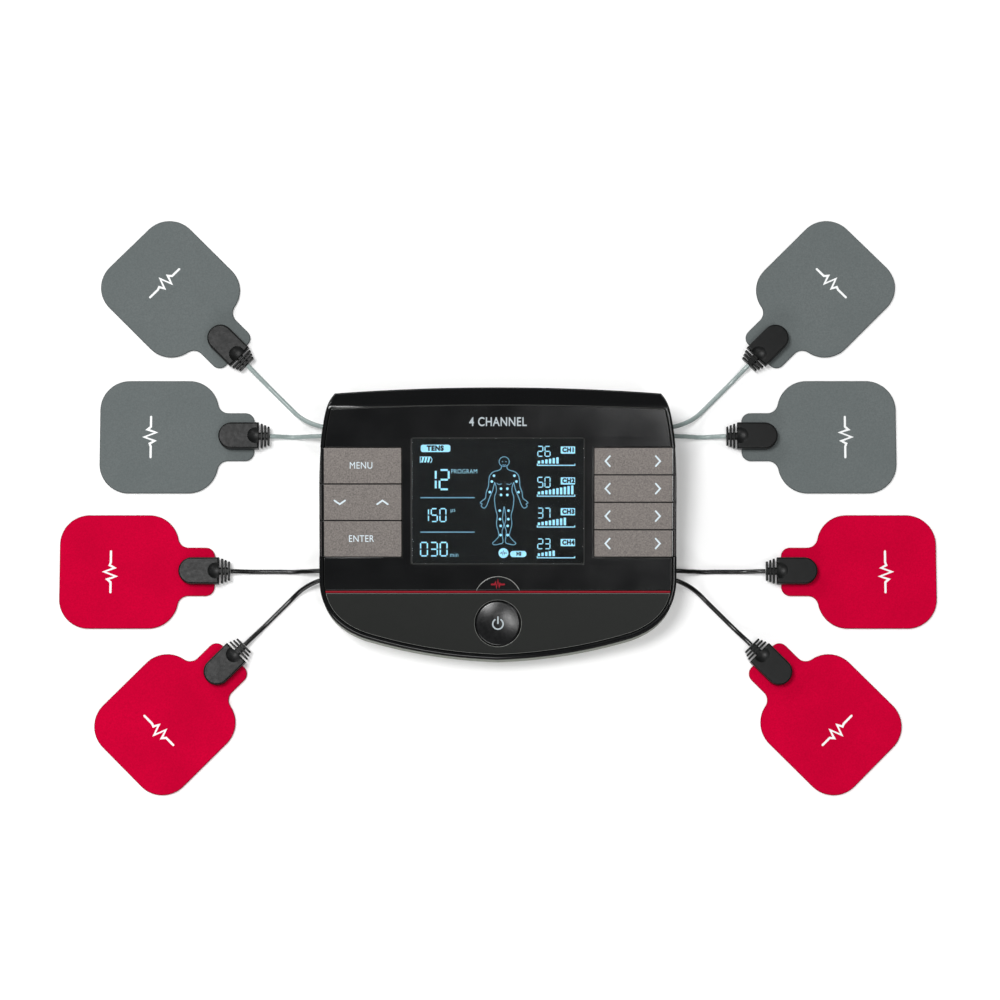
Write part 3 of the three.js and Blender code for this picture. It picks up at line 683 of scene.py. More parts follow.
def bezier(points, count):
    """Points of the Bezier curve with those control points, without its first one."""
    made = []
    for i in range(1, count + 1):
        level, t = [Vector(p) for p in points], i / count
        while len(level) > 1:
            level = [a.lerp(b, t) for a, b in zip(level, level[1:])]
        made.append(level[0])
    return made


def case_outline(inset=0.0):
    """The unit's plan outline, moved inwards by inset: anticlockwise from the middle of the front edge."""
    w = CASE_HALF_WIDTH
    right = [Vector((0, CASE_FRONT_Y))]
    right += bezier([(0, CASE_FRONT_Y), (30, -68.6), (58, -60.2)], 20)
    right += bezier([(58, -60.2), (68, -56.6), (w, -50), (w, -35)], 24)
    right += bezier([(w, -35), (w, 2)], 10)
    right += bezier([(w, 2), (w, 21), (75.3, 30.5)], 12)
    right += bezier([(75.3, 30.5), (73.9, 39.8), (70.4, 43.8)], 14)
    right += bezier([(70.4, 43.8), (36, CASE_REAR_Y), (0, CASE_REAR_Y)], 20)
    loop = right + [Vector((-p.x, p.y)) for p in reversed(right[1:-1])]
    made = []
    for i, point in enumerate(loop):
        along = (loop[(i + 1) % len(loop)] - loop[i - 1]).normalized()
        made.append((point.x - along.y * inset, point.y + along.x * inset))
    return made


def panel_height(y, depth=0.0):
    return PANEL_Z + (y - PANEL_Y) * math.tan(PANEL_SLOPE) - depth / math.cos(PANEL_SLOPE)


REAR_Y = PANEL_Y + REAR_LINE_V * math.cos(PANEL_SLOPE)


def top_height(y):
    """The case's top: the panel's plane, running over a soft crest into the slope behind it."""
    panel = panel_height(y)
    slope = panel_height(REAR_Y) - (y - REAR_Y) * math.tan(REAR_FALL)
    mix = max(0.0, CREST_SOFTNESS - abs(panel - slope)) / CREST_SOFTNESS
    return min(panel, slope) - mix * mix * CREST_SOFTNESS / 4


def on_top(loop, depth=0.0):
    return [(x, y, top_height(y) - depth) for x, y in loop]


def quarter_round(radius):
    """Inset and drop of the rings around a rounded edge, every 15 degrees from the wall to the flat."""
    turns = [math.radians(15 * step) for step in range(7)]
    return [(radius * (1 - math.cos(turn)), radius * (1 - math.sin(turn))) for turn in turns]


def seam_v(x):
    """How far up the panel the seam along its rear runs, which bows back in the middle."""
    return REAR_LINE_V - SEAM_BOW * (x / CASE_HALF_WIDTH) ** 2


def held_back(loop, back=0.0):
    """The loop with what lies behind the seam drawn forward to it, or to back short of it."""
    return [(x, min(y, PANEL_Y + seam_v(x) * math.cos(PANEL_SLOPE) - back)) for x, y in loop]


def under_seam(loop, back):
    """A loop on the panel with its rear edge following the seam, back short of it."""
    made = []
    for (px, pv), (x, v) in edges(loop):
        parts = max(1, round(math.hypot(x - px, v - pv) / 3))
        for k in range(1, parts + 1):
            at = px + (x - px) * k / parts
            made.append((at, min(pv + (v - pv) * k / parts, seam_v(at) - back)))
    return made


def panel_outline(inset, low_v, high_v):
    """The case's outline on the panel, between two lines across it, in the panel's x and v."""
    loop = [(x, (y - PANEL_Y) / math.cos(PANEL_SLOPE)) for x, y in case_outline(inset)]
    for edge, keep in ((low_v, 1), (high_v, -1)):
        clipped = []
        for (px, pv), (x, v) in edges(loop):
            inside, was_inside = keep * (v - edge) >= 0, keep * (pv - edge) >= 0
            if inside != was_inside:
                clipped.append((px + (x - px) * ((edge - pv) / (v - pv)), edge))
            if inside:
                clipped.append((x, v))
        loop = clipped
    return loop


def side_notch(loop, low, high, inner):
    """Cuts a loop's right and left sides in to x = +-inner between two values of v."""
    made = []
    for (px, pv), (x, v) in edges(loop):
        for edge in sorted((low, high), reverse=v < pv):
            if (pv - edge) * (v - edge) < 0 and abs(x) > inner:
                step = [(px + (x - px) * (edge - pv) / (v - pv), edge), (math.copysign(inner, x), edge)]
                goes_in = (edge == low) == (v > pv)
                made += step if goes_in else reversed(step)
        if not (low < v < high and abs(x) > inner):
            made.append((x, v))
    return made


def key_rows(count):
    """Low and high v of each of count keys in a block, from the front."""
    pitch = (KEY_HIGH_V - KEY_LOW_V + KEY_GAP) / count
    return [(KEY_LOW_V + i * pitch, KEY_LOW_V + (i + 1) * pitch - KEY_GAP) for i in range(count)]


# ---- case pieces


def leg_places():
    """Where the keys' legs go through the deck."""
    push = [key_rows(3)[0], key_rows(3)[2]]
    places = [(-KEY_MID_X, sum(row) / 2) for row in push]
    rocking = [(-1, key_rows(3)[1])] + [(1, row) for row in key_rows(4)]
    for side, row in rocking:
        places += [(side * (KEY_MID_X + arm), sum(row) / 2) for arm in (-ROCKER_ARM, ROCKER_ARM)]
    return places


def add_top_shell():
    rings = [
        [(x, y, panel_height(y, DECK_BOTTOM)) for x, y in held_back(case_outline(WALL), 3)],
        at_height(case_outline(WALL), PARTING_Z + 0.1),
        at_height(case_outline(PARTING_STEP), PARTING_Z + 0.1),
        at_height(case_outline(), PARTING_Z + 0.45),
    ]
    rings += [on_top(case_outline(inset), drop) for inset, drop in quarter_round(TOP_ROUNDING)]
    edge, inner = case_outline(TOP_ROUNDING), held_back(case_outline(RIM - 0.2))
    for step in range(1, 9):
        share = step / 8
        between = [(a + (c - a) * share, b + (d - b) * share) for (a, b), (c, d) in zip(edge, inner)]
        rings.append(on_top(between))
    lip = held_back(case_outline(RIM))
    rings.append(on_top(lip, 0.25))
    rings.append([(x, y, panel_height(y, INLAY_DEPTH)) for x, y in lip])

    half_width, half_height = WINDOW_HALF_WIDTH + 0.5, WINDOW_HALF_HEIGHT + 1
    holes = [block((-half_width, WINDOW_V - half_height, -6), (half_width, WINDOW_V + half_height, 5))]
    half = LEG_HOLE_HALF
    holes += [block((x - half, v - half, -6), (x + half, v + half, 5)) for x, v in leg_places()]
    holes.append(plate([circle(0, POWER_V, STEM_HOLE_RADIUS, 32)], -6, 5))
    for side in SIDES:
        for near, low in ((72.5, -INLAY_DEPTH), (75.2, -3.4)):
            x = sorted((side * near, side * 90))
            holes.append(block((x[0], KEY_LOW_V - FIT_GAP, low), (x[1], KEY_HIGH_V + FIT_GAP, 20)))
    shell = cut(loft(rings), *[moved(hole, PANEL) for hole in holes])
    black = "gloss_black"
    piece("upper_case", shell, black, black, "top_shell", angle=28, second="wall_black", where=steep)


def lower_rings():
    """The lower case's outside, from just below its rim to its flat underside."""
    rings = [at_height(case_outline(), PARTING_Z - 0.4)]
    for inset, drop in quarter_round(BOTTOM_ROUNDING):
        rings.append(at_height(case_outline(inset), FLOOR_LOW + drop))
    return rings


def add_bottom_shell():
    rings = [at_height(case_outline(WALL), FLOOR_TOP), at_height(case_outline(WALL), PARTING_Z - 0.05)]
    rings.append(at_height(case_outline(PARTING_STEP), PARTING_Z - 0.05))
    shell = loft(rings + lower_rings())
    bay_half, way_half = BAY_HALF_WIDTH + BAY_WALL, COVER_HALF_WIDTH + COVER_GAP
    bay_high = (bay_half, BAY_REAR_Y + BAY_WALL, BAY_TOP_Z + BAY_WALL)
    added = [block((-bay_half, BAY_FRONT_Y - BAY_WALL, FLOOR_LOW + 1), bay_high)]
    removed = [
        block((-BAY_HALF_WIDTH, BAY_FRONT_Y, FLOOR_TOP), (BAY_HALF_WIDTH, BAY_REAR_Y, BAY_TOP_Z)),
        block((-way_half, BAY_FRONT_Y, 0), (way_half, CASE_REAR_Y + 5, FLOOR_TOP + FIT_GAP)),
    ]
    for x, y in SCREWS:
        added.append(plate([circle(x, y, POST_RADIUS, 24)], FLOOR_LOW + 1, PARTING_Z - 1))
        removed.append(plate([circle(x, y, HEAD_HOLE_RADIUS, 32)], 0, HEAD_HOLE_TOP))
        removed.append(plate([circle(x, y, SCREW_HOLE_RADIUS, 24)], HEAD_HOLE_TOP - 0.5, PARTING_Z + 1))
    column = plate([case_outline(0.4)], 0, PARTING_Z)
    for side_x, side_y in QUARTERS:
        y = side_y * PLUG_Y
        half = RECESS_HALF_WIDTH + RECESS_WALL
        x = sorted((side_x * (RECESS_INNER_X - 1.6), side_x * CASE_HALF_WIDTH))
        walls = block((x[0], y - half, FLOOR_LOW + 1), (x[1], y + half, PARTING_Z - 1))
        added.append(boolean("INTERSECT", walls, column.copy()))
        mouth = rounded_rectangle((RECESS_TOP_Z - FLOOR_TOP) / 2, RECESS_HALF_WIDTH, 1.8)
        room = plate([mouth], RECESS_INNER_X, CASE_HALF_WIDTH + 5)
        outwards = Matrix.Rotation(side_x * math.pi / 2, 4, "Y")
        removed.append(moved(room, shift(0, y, (FLOOR_TOP + RECESS_TOP_Z) / 2) @ outwards))
        start, end = [(side_x * (RECESS_INNER_X + reach), y, PLUG_Z) for reach in (-4, 1)]
        removed.append(rod(start, end, BORE_RADIUS))
    shell = cut(boolean("UNION", shell, *added), *removed)
    piece("lower_case", shell, "case_grey", "case_grey", "bottom_shell", angle=28)


def add_inlays():
    low = 0.2 - INLAY_DEPTH
    inset = RIM + FIT_GAP

    def inlay(name, mesh, finish, slot, node=None, second=None):
        piece(name, mesh, finish, slot, node, panel=True, second=second)

    def window_outline(gap, radius):
        return rounded_rectangle(WINDOW_HALF_WIDTH + gap, WINDOW_HALF_HEIGHT + gap, radius, 0, WINDOW_V)

    fascia = under_seam(panel_outline(inset, STRIP_HALF + FIT_GAP, REAR_LINE_V), FIT_GAP)
    fascia = side_notch(fascia, KEY_LOW_V - FIT_GAP, KEY_HIGH_V + FIT_GAP, KEY_INNER_X - FIT_GAP)
    fascia = with_badge_notch(fascia, BADGE_RADIUS + FIT_GAP)
    # The fascia's rounded edges around the window, the key ways, the badge and the seam take the lighter
    # gloss: painted highlights.
    fascia = plate([fascia, window_outline(FIT_GAP, 0.8)], low, 0, 0.3)
    inlay("fascia", fascia, "gloss_black", "gloss_black", "fascia_panel", "soft_edge_highlight")

    start = math.degrees(math.asin((STRIP_HALF + FIT_GAP - BADGE_V) / BADGE_RADIUS))
    badge = plate([arc(0, BADGE_V, BADGE_RADIUS, start, 180 - start, 40)], low, 0.8, 0.45)
    inlay("badge", badge, "gloss_black", "matte_black", "status_badge")
    # A thin light grey ring along the badge's round edge: a painted highlight.
    edge = arc(0, BADGE_V, BADGE_RADIUS - 0.2, start + 1, 179 - start, 60)
    inlay("badge_edge", prisms([stroke(edge, 0.2)], 0.5, 0.84), "edge_glint", "matte_black")
    pulse = [(x * 0.3, 3.3 + y * 0.6) for x, y in PULSE]
    inlay("badge_mark", prisms([stroke(pulse, 0.75)], 0.79, 0.86), "red_gloss", "red")

    strip = plate([panel_outline(inset, -STRIP_HALF, STRIP_HALF)], low, 0.1, 0.1)
    inlay("red_strip", strip, "red_gloss", "red", "accent_strip")

    cover = panel_outline(inset, -FAR, -STRIP_HALF - FIT_GAP)
    cover = plate([cover, circle(0, POWER_V, POWER_RADIUS + 0.6, 64)], low, 0, 0.25)
    # The cover's rounded edge takes light grey gloss: a painted highlight.
    inlay("front_cover_look", cover, "cover_charcoal", "matte_black", "front_cover", "edge_glint")

    pane = plate([window_outline(0, 0.7)], -1.5, -0.2, 0.12, 2)
    inlay("window_pane", pane, "window_glass", "lens", "display_window")
    # A thin lighter ring in the gap between the glass and the fascia: a painted highlight.
    rim = plate([window_outline(gap, 0.7) for gap in (0.3, 0.02)], -1.6, -0.1)
    inlay("window_rim_highlight", rim, "soft_edge_highlight", "gloss_black")
    # A thin lighter strip just in front of the seam at the panel's rear: a painted highlight.
    across = [x * 1.5 for x in range(-48, 49)]
    seam = [(x, seam_v(x) - 0.28) for x in across] + [(x, seam_v(x) - 0.02) for x in reversed(across)]
    inlay("rear_seam_highlight", prisms([seam], -1.7, -0.12), "soft_edge_highlight", "gloss_black")

    word = lettering("4 CHANNEL", 3.9, 0, 73.4, -0.02, 0.05, width=0.8, weight=0.02)
    inlay("fascia_word", word, "print_steel", "gloss_black")


def with_badge_notch(loop, radius):
    """The loop with a round bite out of its front edge, for the badge."""
    edge = min(v for _, v in loop)
    start = math.degrees(math.asin((edge - BADGE_V) / radius))
    bite = arc(0, BADGE_V, radius, 180 - start, start, 40)
    made = []
    for (px, pv), (x, v) in edges(loop):
        if pv == edge and v == edge and px < 0 < x:
            made += bite
        made.append((x, v))
    return made


# ---- keys


def key_mesh(side, low_v, high_v):
    """One key cap: flat on top, rolled over the case's side edge, with a finely rounded rim."""
    roll, soft = 1.1, 0.2
    rings = []
    for inset, v in (
        (soft, low_v), (0.06, low_v + 0.06), (0, low_v + soft),
        (0, high_v - soft), (0.06, high_v - 0.06), (soft, high_v),
    ):
        inner, outer, top = KEY_INNER_X + inset, KEY_OUTER_X - inset, KEY_TOP - inset
        profile = [(inner, -1.0), *arc(inner + soft, top - soft, soft, 180, 90, 3)]
        profile += [(KEY_OUTER_X - KEY_BARE, top), *arc(outer - roll, top - roll, roll, 90, 0, 6)]
        profile += [(outer, -2.4), (KEY_OUTER_X - 1, -2.4), (KEY_OUTER_X - 1, -1.0)]
        rings.append([(side * x, v, w) for x, w in profile])
    return loft(rings)


def chevron(x, v, towards):
    """A chevron's stroke: towards is the way that it points."""
    dx, dv = towards
    arm, depth = (2.3, 0.8) if dv else (2.15, 0.95)
    tip = (x + dx * depth, v + dv * depth)
    ends = [(x - s * dv * arm - dx * depth, v - s * dx * arm - dv * depth) for s in SIDES]
    return stroke([ends[0], tip, ends[1]], 0.72)


def on_roll(face):
    """Whether a key's face lies on its bare outer edge."""
    return abs(face.calc_center_median().x) > KEY_OUTER_X - KEY_BARE


def add_keys():
    low, high = KEY_TOP - 0.02, KEY_TOP + 0.06

    def cap(name, side, row):
        mesh = key_mesh(side, *row)
        look = {"second": "gloss_black", "where": on_roll}
        piece(name + "_cap", mesh, "key_silver", "key_grey", name, name, panel=True, **look)

    def mark(name, mesh):
        piece(name + "_mark", mesh, "print_blue_white", "key_grey", body=name, panel=True)

    def chevrons(name, row, *arrows):
        mark(name, prisms([chevron(x, sum(row) / 2, towards) for x, towards in arrows], low, high))

    for name, row in zip(["key_enter", "key_up_down", "key_menu"], key_rows(3)):
        cap(name, -1, row)
        if name == "key_up_down":
            chevrons(name, row, (-68.2, (0, -1)), (-49.8, (0, 1)))
        else:
            mark(name, lettering(name[4:].upper(), 3.0, -KEY_MID_X, sum(row) / 2, low, high))
    for name, row in zip([f"key_channel_{i}" for i in (4, 3, 2, 1)], key_rows(4)):
        cap(name, 1, row)
        chevrons(name, row, (47.3, (-1, 0)), (69.0, (1, 0)))


def add_power_button():
    name, slot = "power_button", "gloss_black"
    rim, crown = POWER_RADIUS, 0.95
    profile = [(3, -4), (3, -0.8), (rim - 0.2, -0.8), (rim, -0.6), (rim, -0.25)]
    profile += arc(rim - 0.35, -0.25, 0.35, 0, 60, 4)[1:]
    for share in (0.94, 0.88, 0.8, 0.7, 0.6, 0.5, 0.4, 0.3, 0.2, 0.1, 0.02):
        profile.append((rim * share, crown - 0.95 * share**2))
    disc = moved(turned(profile, 96), shift(y=POWER_V))
    piece("power_button_disc", disc, "button_black", slot, name, name, panel=True)
    low, high = crown - 0.12, crown + 0.05
    ring = prisms([stroke(arc(0, POWER_V - 0.15, 2.25, 125, 415, 36), 0.6)], low, high)
    bar = prisms([stroke([(0, POWER_V + 0.1), (0, POWER_V + 2.9)], 0.6)], low, high)
    piece("power_mark", joined(ring, bar), "print_steel", slot, body=name, panel=True)


# ---- display

# The lit bars of each figure: a to f clockwise from the top one, g across the middle.
SEGMENTS = {
    "0": "abcdef", "1": "bc", "2": "abged", "3": "abgcd", "5": "afgcd", "6": "afgecd", "7": "abc",
}
CHANNEL_TOP = 22.0
CHANNEL_PITCH = 13.35


def digit(figure, x, y, width, height, thick):
    """The lit bars of one seven-segment figure whose lower left corner is at x, y."""
    gap, half = thick * 0.5, height / 2
    l, r, b, m, t = x + thick / 2, x + width - thick / 2, y + thick / 2, y + half, y + height - thick / 2
    lines = {
        "f": [(l, m + gap), (l, t - gap)], "b": [(r, m + gap), (r, t - gap)],
        "e": [(l, b + gap), (l, m - gap)], "c": [(r, b + gap), (r, m - gap)],
    }
    lines.update({bar: [(l + gap, level), (r - gap, level)] for bar, level in (("a", t), ("g", m), ("d", b))})
    return [stroke(lines[part], thick, 1) for part in SEGMENTS[figure]]


def number(figures, x, y, width, height, thick, pitch):
    return [bar for i, f in enumerate(figures) for bar in digit(f, x + i * pitch, y, width, height, thick)]


def smooth_line(points, steps, before=None, after=None):
    """A rounded line through the points; before and after steer its ends."""
    points = [Vector(p) for p in points]
    row = [points[0] if before is None else before, *points, points[-1] if after is None else after]
    made = [points[0]]
    for a, b, c, d in zip(row, row[1:], row[2:], row[3:]):
        for k in range(1, steps + 1):
            t = k / steps
            p = b * 2 + (c - a) * t + (a * 2 - b * 5 + c * 4 - d) * t * t + (b * 3 - a - c * 3 + d) * t**3
            made.append(p / 2)
    return made


def figure_lines(x):
    """A plain standing figure about x, drawn as lines: arms, sides and legs, a chest and a face."""
    arm = [
        (1.2, 14.9), (1.4, 13.9), (2.5, 13.2), (4.6, 12.6), (6.1, 11.1), (6.6, 8.9), (6.8, 6.3), (7.7, 3.8),
        (8.1, 1.2), (9.2, 0.3), (10.3, -0.8), (9.5, -1.3), (9.9, -2.3), (8.7, -3.1), (7.7, -2.3), (7.0, -0.6),
        (6.1, 1.9), (5.0, 4.5), (4.1, 8.0),
    ]
    leg = [
        (4.1, 8.0), (3.5, 6.3), (3.4, 4.1), (4.1, 1.9), (4.1, -0.6), (3.7, -3.5), (3.0, -6.4), (3.3, -10.1),
        (2.5, -13.4), (2.3, -15.2), (3.7, -17.0), (5.0, -18.3), (4.1, -19.0), (2.2, -18.7), (0.6, -18.0),
        (0.7, -15.6), (0.9, -13.0), (0.2, -10.6), (0.7, -7.9), (0.5, -5.3), (0.1, -2.6),
    ]
    chest = [(1.0, 7.4), (2.3, 7.1), (3.2, 7.7)]
    lines = [stroke(smooth_line([(x - 0.6, 15.7), (x, 15.4), (x + 0.6, 15.7)], 5), 0.24, 2)]
    lines += [circle(x + side * 0.75, 17.0, 0.24, 10) for side in SIDES]
    for side in SIDES:
        for half, width in ((arm, 0.34), (leg, 0.34), (chest, 0.24)):
            lines.append(stroke([(x + side * px, py) for px, py in smooth_line(half, 5)], width, 2))
    head = [(px, py * (1 if py > 0 else 0.9)) for px, py in circle(0, 0, 2.35, 32)]
    return lines, [[(x + px * k, 16.9 + py * k) for px, py in head] for k in (1, 0.86)]


def add_display():
    """What the display shows: mode, time and program at the left, a figure with pad places, four channels."""
    low, high = -1.86, -1.78
    raised = 0.07

    def show(name, finish, mesh):
        piece(name, moved(mesh, shift(y=WINDOW_V)), finish, "lens", panel=True)

    def words(rows, lift, weight, width):
        height = (low + lift, high + lift)
        return joined(*[lettering(t, size, x, y, *height, "LEFT", width, weight) for t, size, x, y in rows])

    mode_pill = rounded_rectangle(6.4, 1.6, 1.0, -26.9, 22.7)
    cells = [stroke([(-32.7 + 1.3 * i, 16.9), (-32.2 + 1.3 * i, 18.7)], 0.8, 3) for i in range(3)]
    cells.append(stroke([(-33.5, 16.5), (-33.5, 19.0), (-29.0, 19.0), (-28.4, 17.8), (-29.0, 16.5)], 0.3, 2))
    figures = number("12", -31.2, 4.6, 4.8, 9.2, 0.85, 5.6)
    figures += number("150", -32.8, -9.2, 3.1, 6.1, 0.55, 3.75)
    figures += number("030", -33.7, -24.1, 3.5, 6.4, 0.58, 4.25)
    show("display_values", "segment_bright", prisms([mode_pill, *cells, *figures], low, high))
    rules = [stroke([(-33.3, y), (-10.2, y)], 0.45, 3) for y in (1.4, -13.5)]
    show("display_rules", "segment_soft", prisms(rules, low, high))
    show("display_channels", "segment_bright", prisms(channel_shapes(), low, high))

    centre = 2.7
    lines, head = figure_lines(centre)
    show("display_figure", "segment_soft", joined(prisms(lines, low, high), plate(head, low, high)))
    spots = [(4.4, 10.9), (5.3, 8.4), (6.2, 3.8), (1.35, 5.3), (1.35, 2.6)]
    spots += [(1.9, -4.2), (1.8, -7.9), (1.5, -10.8), (1.5, -14.8)]
    dots = [circle(centre + side * x, y, 0.58, 14) for side in SIDES for x, y in spots]
    heat, level = circle(2.4, -22.6, 2.15, 28), rounded_rectangle(3.5, 1.35, 1.3, 8.8, -23.0)
    show("display_spots", "segment_bright", prisms([*dots, heat, level], low, high))

    tags = [(f"CH{i + 1}", 1.9, 27.8, y) for i, y in enumerate(channel_heights())]
    dark = words([("TENS", 2.1, -30.6, 22.7), *tags, ("HI", 1.5, 8.0, -23.0)], raised, 0.09, 0.96)
    pulse = [(2.4 + x * 0.17, -22.6 + y * 0.4) for x, y in PULSE]
    pulse = prisms([stroke(pulse, 0.3, 2)], low + raised, high + raised)
    show("display_tags", "lcd_dark", joined(dark, pulse))
    units = [("PROGRAM", 2.0, -20.3, 12.7), ("µs", 2.0, -20.6, -3.9), ("min", 2.1, -20.8, -23.4)]
    show("display_units", "segment_bright", words(units, 0, -0.018, 0.84))


def channel_heights():
    return [CHANNEL_TOP - i * CHANNEL_PITCH for i in range(4)]


def channel_shapes():
    """Each channel's strength: two figures, a tag, a row of rising bars and the line below them."""
    shapes = []
    for y, figures, bars in zip(channel_heights(), ("26", "50", "37", "23"), (6, 10, 8, 5)):
        shapes += number(figures, 17.0, y - 2.9, 2.6, 4.7, 0.42, 3.1)
        shapes.append(rounded_rectangle(3.1, 1.55, 0.3, 30.2, y))
        base = y - 6.6
        shapes.append(stroke([(17.0, base + 0.6), (17.0, base), (33.2, base), (33.2, base + 0.6)], 0.4, 3))
        for i in range(bars):
            rise = 0.6 + 0.15 * i
            shapes.append(rounded_rectangle(0.52, rise, 0.15, 17.7 + 1.6 * i, base + 0.75 + rise, 2))
    return shapes


# ---- underside


def add_underside():
    cover = plate([rounded_rectangle(COVER_HALF_WIDTH, 27.2, 1.2, 0, 18.6)], FLOOR_LOW, COVER_TOP, 0.3)
    grooves = [rounded_rectangle(11, 0.55, 0.5, 0, CASE_REAR_Y - 14 + 2.4 * i) for i in range(4)]
    grooves = [plate([groove], 0, FLOOR_LOW + 0.5) for groove in grooves]
    arrow = [(-3.2, 26), (0, 29.2), (3.2, 26), (3.2, 24.6), (0, 27.8), (-3.2, 24.6)]
    cover = cut(cover, *grooves, plate([arrow], 0, FLOOR_LOW + 0.35))
    cover = boolean("INTERSECT", cover, loft(lower_rings()))
    piece("battery_door", cover, "case_grey", "case_grey", "battery_cover", "battery_cover")

    feet = {
        "foot_front": rounded_rectangle(26, 3.5, 3.4, 0, -57),
        "foot_rear_left": circle(-60, 2, 5),
        "foot_rear_right": circle(60, 2, 5),
    }
    for node, outline in feet.items():
        piece(node + "_pad", plate([outline], 0, FLOOR_LOW, 0.35), "rubber_black", "rubber", node)

    screw = [(0.01, 2.5), (1.6, 2.55), (2.5, 2.95), (2.75, 3.5), (2.75, 4.3), (1.4, 4.4), (1.4, 9), (0.01, 9)]
    for i, (x, y) in enumerate(SCREWS, 1):
        slots = [block((-1.7, -0.28, 2), (1.7, 0.28, 3.5)), block((-0.28, -1.7, 2), (0.28, 1.7, 3.5))]
        mesh = moved(cut(turned(screw), *slots), shift(x, y))
        piece(f"case_screw_{i}", mesh, "zinc_screw", "metal")


# ---- pads, connectors, plugs and leads


def pad_outline(inset=0.0):
    """The pad's outline about its snap stud, with its tab along +x."""
    corner_y = PAD_HALF - PAD_CORNER
    neck_y = TAB_HALF + NECK_FILLET
    lean = math.degrees(math.atan2(neck_y - corner_y, NECK_X - PAD_RIGHT_X))
    tab_x, tab_y = TAB_END_X - TAB_CORNER, TAB_HALF - TAB_CORNER
    left_x = PAD_CENTRE_X - PAD_HALF + PAD_CORNER
    corner, tab, neck = PAD_CORNER - inset, TAB_CORNER - inset, NECK_FILLET + inset
    upper = arc(tab_x, tab_y, tab, 0, 90, 8)
    upper += arc(NECK_X, neck_y, neck, 270, 180 + lean, 10)
    upper += arc(PAD_RIGHT_X, corner_y, corner, lean, 90, 14)
    upper += arc(left_x, corner_y, corner, 90, 180, 20)
    return upper + [(x, -y) for x, y in reversed(upper)]


def add_pad(number, place, finish, body):
    """Fabric backing over a carbon film, with a clear gel layer below, and a plain printed pulse mark."""
    name = f"pad_{number}"
    backing = moved(plate([pad_outline()], 0.75, PAD_THICK, 0.42), place)
    # The backing's rounded edge takes the darker copy of its finish: painted shade.
    top = piece(name + "_backing", backing, finish, finish, name, body, second=finish + "_edge")
    for layer, low, high, inset, look in (
        ("carbon", 0.5, 0.78, 0.8, "socket_black"),
        ("gel", 0.0, 0.52, 1.1, "gel"),
    ):
        sheet = moved(plate([pad_outline(inset)], low, high, 0.08, 2), place)
        piece(f"{name}_{layer}", sheet, look, finish, body=body)
    stud = [(0.01, 1.5), (3.4, 1.5), (3.4, 1.75), (1.6, 1.85), (1.5, 2.4), (2.0, 2.9), (2.0, 3.5), (1.2, 4.0)]
    stud = turned([*stud, (0.01, 4.0)], 32)
    piece(name + "_stud", moved(stud, place), "nickel", "metal", body=body)
    centre_x = PAD_CENTRE_X - 2.6
    line = stroke([(centre_x - y, x) for x, y in PULSE], 0.95)
    printed = moved(plate([line], PAD_THICK - 0.02, PAD_THICK + 0.05), place)
    piece(name + "_mark", printed, "print_white", finish, body=body)


def connector_mesh():
    """The moulded snap connector: a round-ended body with a thumb scoop, and a finned strain relief."""
    outline = [(CONNECTOR_END_X, -CONNECTOR_HALF), (CONNECTOR_END_X, CONNECTOR_HALF)]
    outline += arc(0, 0, CONNECTOR_HALF, 90, 270, 32)
    body = plate([outline], CONNECTOR_LOW, CONNECTOR_TOP, 0.75, 4)
    scoop = moved(turned(arc(0, 0, 7.4, -89, 89, 40), 72), shift(10.5, 0, CONNECTOR_TOP + 6.5))
    socket = plate([circle(0, 0, 2.9, 32)], 0, 4.4)
    spine = plate([rounded_rectangle(1.6, 1.6, 0.9)], CONNECTOR_END_X - 1, RELIEF_END_X)
    parts = [cut(body, scoop, socket), moved(spine, shift(z=CORD_Z) @ ALONG_X)]
    for i in range(3):
        x = CONNECTOR_END_X + 0.85 + 1.5 * i
        half_width, half_height = 5.4 - 0.6 * i, 2.1 - 0.15 * i
        low = max(CONNECTOR_LOW, CORD_Z - half_height)
        middle, reach = (low + CORD_Z + half_height) / 2, (CORD_Z + half_height - low) / 2
        fin = plate([rounded_rectangle(reach, half_width, 0.8)], x, x + 0.85, 0.2, 2)
        parts.append(moved(fin, shift(z=middle) @ ALONG_X))
    return joined(*parts)


def plug_mesh():
    """A flat moulded plug along +x, with four grip grooves across its top and underside."""
    length = PLUG_OUTER_X - PLUG_INNER_X
    body = plate([rounded_rectangle(PLUG_HALF_HEIGHT, PLUG_HALF_WIDTH, 1.6)], 0, length, 0.6, 4)
    grooves = []
    for i in range(4):
        x = 4.2 + 1.7 * i
        for side in SIDES:
            z = sorted((side * (PLUG_HALF_HEIGHT - 0.35), side * 5))
            grooves.append(block((x, -3.4, z[0]), (x + 0.8, 3.4, z[1])))
    return moved(cut(moved(body, ALONG_X), *grooves), shift(PLUG_INNER_X))


def tube_mesh(path):
    """A lead's round sheath with closed ends, along a path in metres."""
    radius = LEAD_RADIUS * MM
    rings = []
    for i, point in enumerate(path):
        along = (path[min(i + 1, len(path) - 1)] - path[max(i - 1, 0)]).normalized()
        across = Vector((0, 0, 1)).cross(along).normalized()
        up = along.cross(across)
        sides = circle(0, 0, 1, LEAD_SIDES)
        rings.append([(point + across * x * radius + up * y * radius) / MM for x, y in sides])
    return loft(rings)


def add_lead(number, route, finish):
    """One lead's sheath along its route from the plug to the connector."""
    points = [Vector([c * MM for c in p]) for p in route]
    path = smooth_line(points, 3, points[0] * 2 - points[1], points[-1] * 2 - points[-2])
    mesh = tube_mesh(path)
    lead = piece(f"lead_{number}_cord", mesh, finish, finish, f"lead_{number}", body=None, angle=50)
    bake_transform(lead)


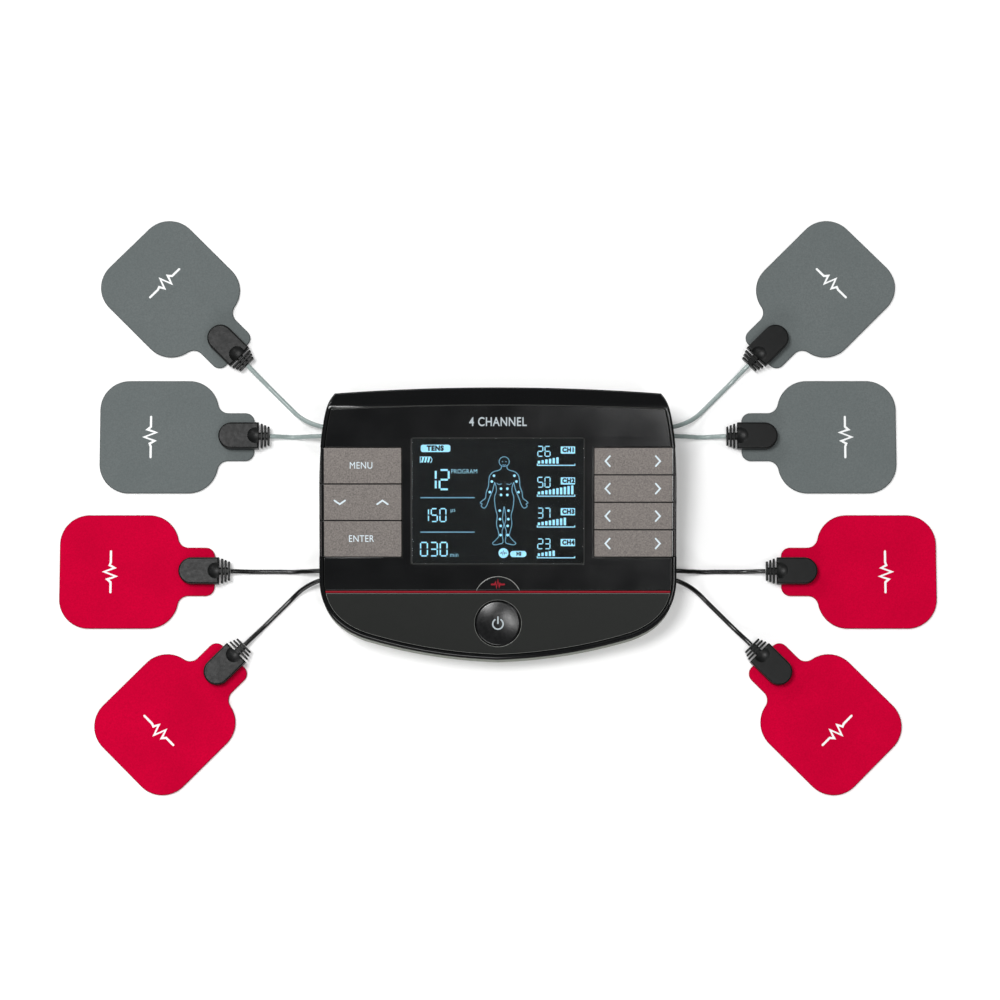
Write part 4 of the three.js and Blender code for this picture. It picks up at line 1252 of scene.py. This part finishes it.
def add_lead_sets():
    pin = [(0.01, 0), (0.7, 0.1), (1.2, 0.9), (1.25, 1.4), (1.0, 1.9), (1.0, 2.4), (1.25, 2.9), (1.25, 11.2)]
    pin.append((0.01, 11.2))
    for channel, (side_x, side_y) in enumerate(QUARTERS, 1):
        body, plug = f"lead_set_{channel}", f"plug_{channel}"
        lead_look, pad_look = ("lead_grey", "pad_grey") if side_y > 0 else ("lead_black", "pad_red")
        mirror = Matrix.Diagonal((side_x, side_y, 1, 1))

        moulding = moved(plug_mesh(), mirror @ shift(0, PLUG_Y, PLUG_Z))
        piece(plug + "_moulding", moulding, "connector_black", "connector", plug, body)
        metal = moved(turned(pin, 24), mirror @ shift(PIN_TIP_X, PLUG_Y, PLUG_Z) @ ALONG_X)
        piece(plug + "_pin", metal, "nickel", "metal", body=body)

        for outer in (False, True):
            number = 2 * channel - 1 + outer
            x, y = OUTER_STUD if outer else INNER_STUD[side_y]
            turn = math.pi + (math.pi / 4 if outer else 0)
            place = mirror @ shift(x, y) @ Matrix.Rotation(turn, 4, "Z")
            add_pad(number, place, pad_look, body)
            snap, node = f"snap_{number}", f"snap_connector_{number}"
            connector = moved(connector_mesh(), place)
            piece(snap + "_moulding", connector, "connector_black", "connector", node, snap)
            route = OUTER_LEAD if outer else INNER_LEAD[side_y]
            route = [(side_x * x, side_y * y, z) for x, y, z in route]
            add_lead(number, route, lead_look)


# ---- inner nodes, whose shapes stay as CAD made them


def finish_inner_nodes():
    looks = {
        "lcd_dark": ["lcd_module"],
        "board_green": ["circuit_board"],
        "silicone": ["dome_mat_left", "dome_mat_right"],
        "nickel": ["battery_contacts_left", "battery_contacts_right"],
        "battery_sleeve": [f"battery_{i}" for i in (1, 2, 3)],
        "socket_black": [f"socket_{i}" for i in (1, 2, 3, 4)],
    }
    for look, nodes in looks.items():
        for node in nodes:
            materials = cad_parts[node].data.materials
            materials.clear()
            materials.append(FINISH[look])


make_finishes()
add_camera()
add_lead_sets()
add_stage()
add_top_shell()
add_bottom_shell()
add_inlays()
add_keys()
add_power_button()
add_display()
add_underside()
finish_inner_nodes()
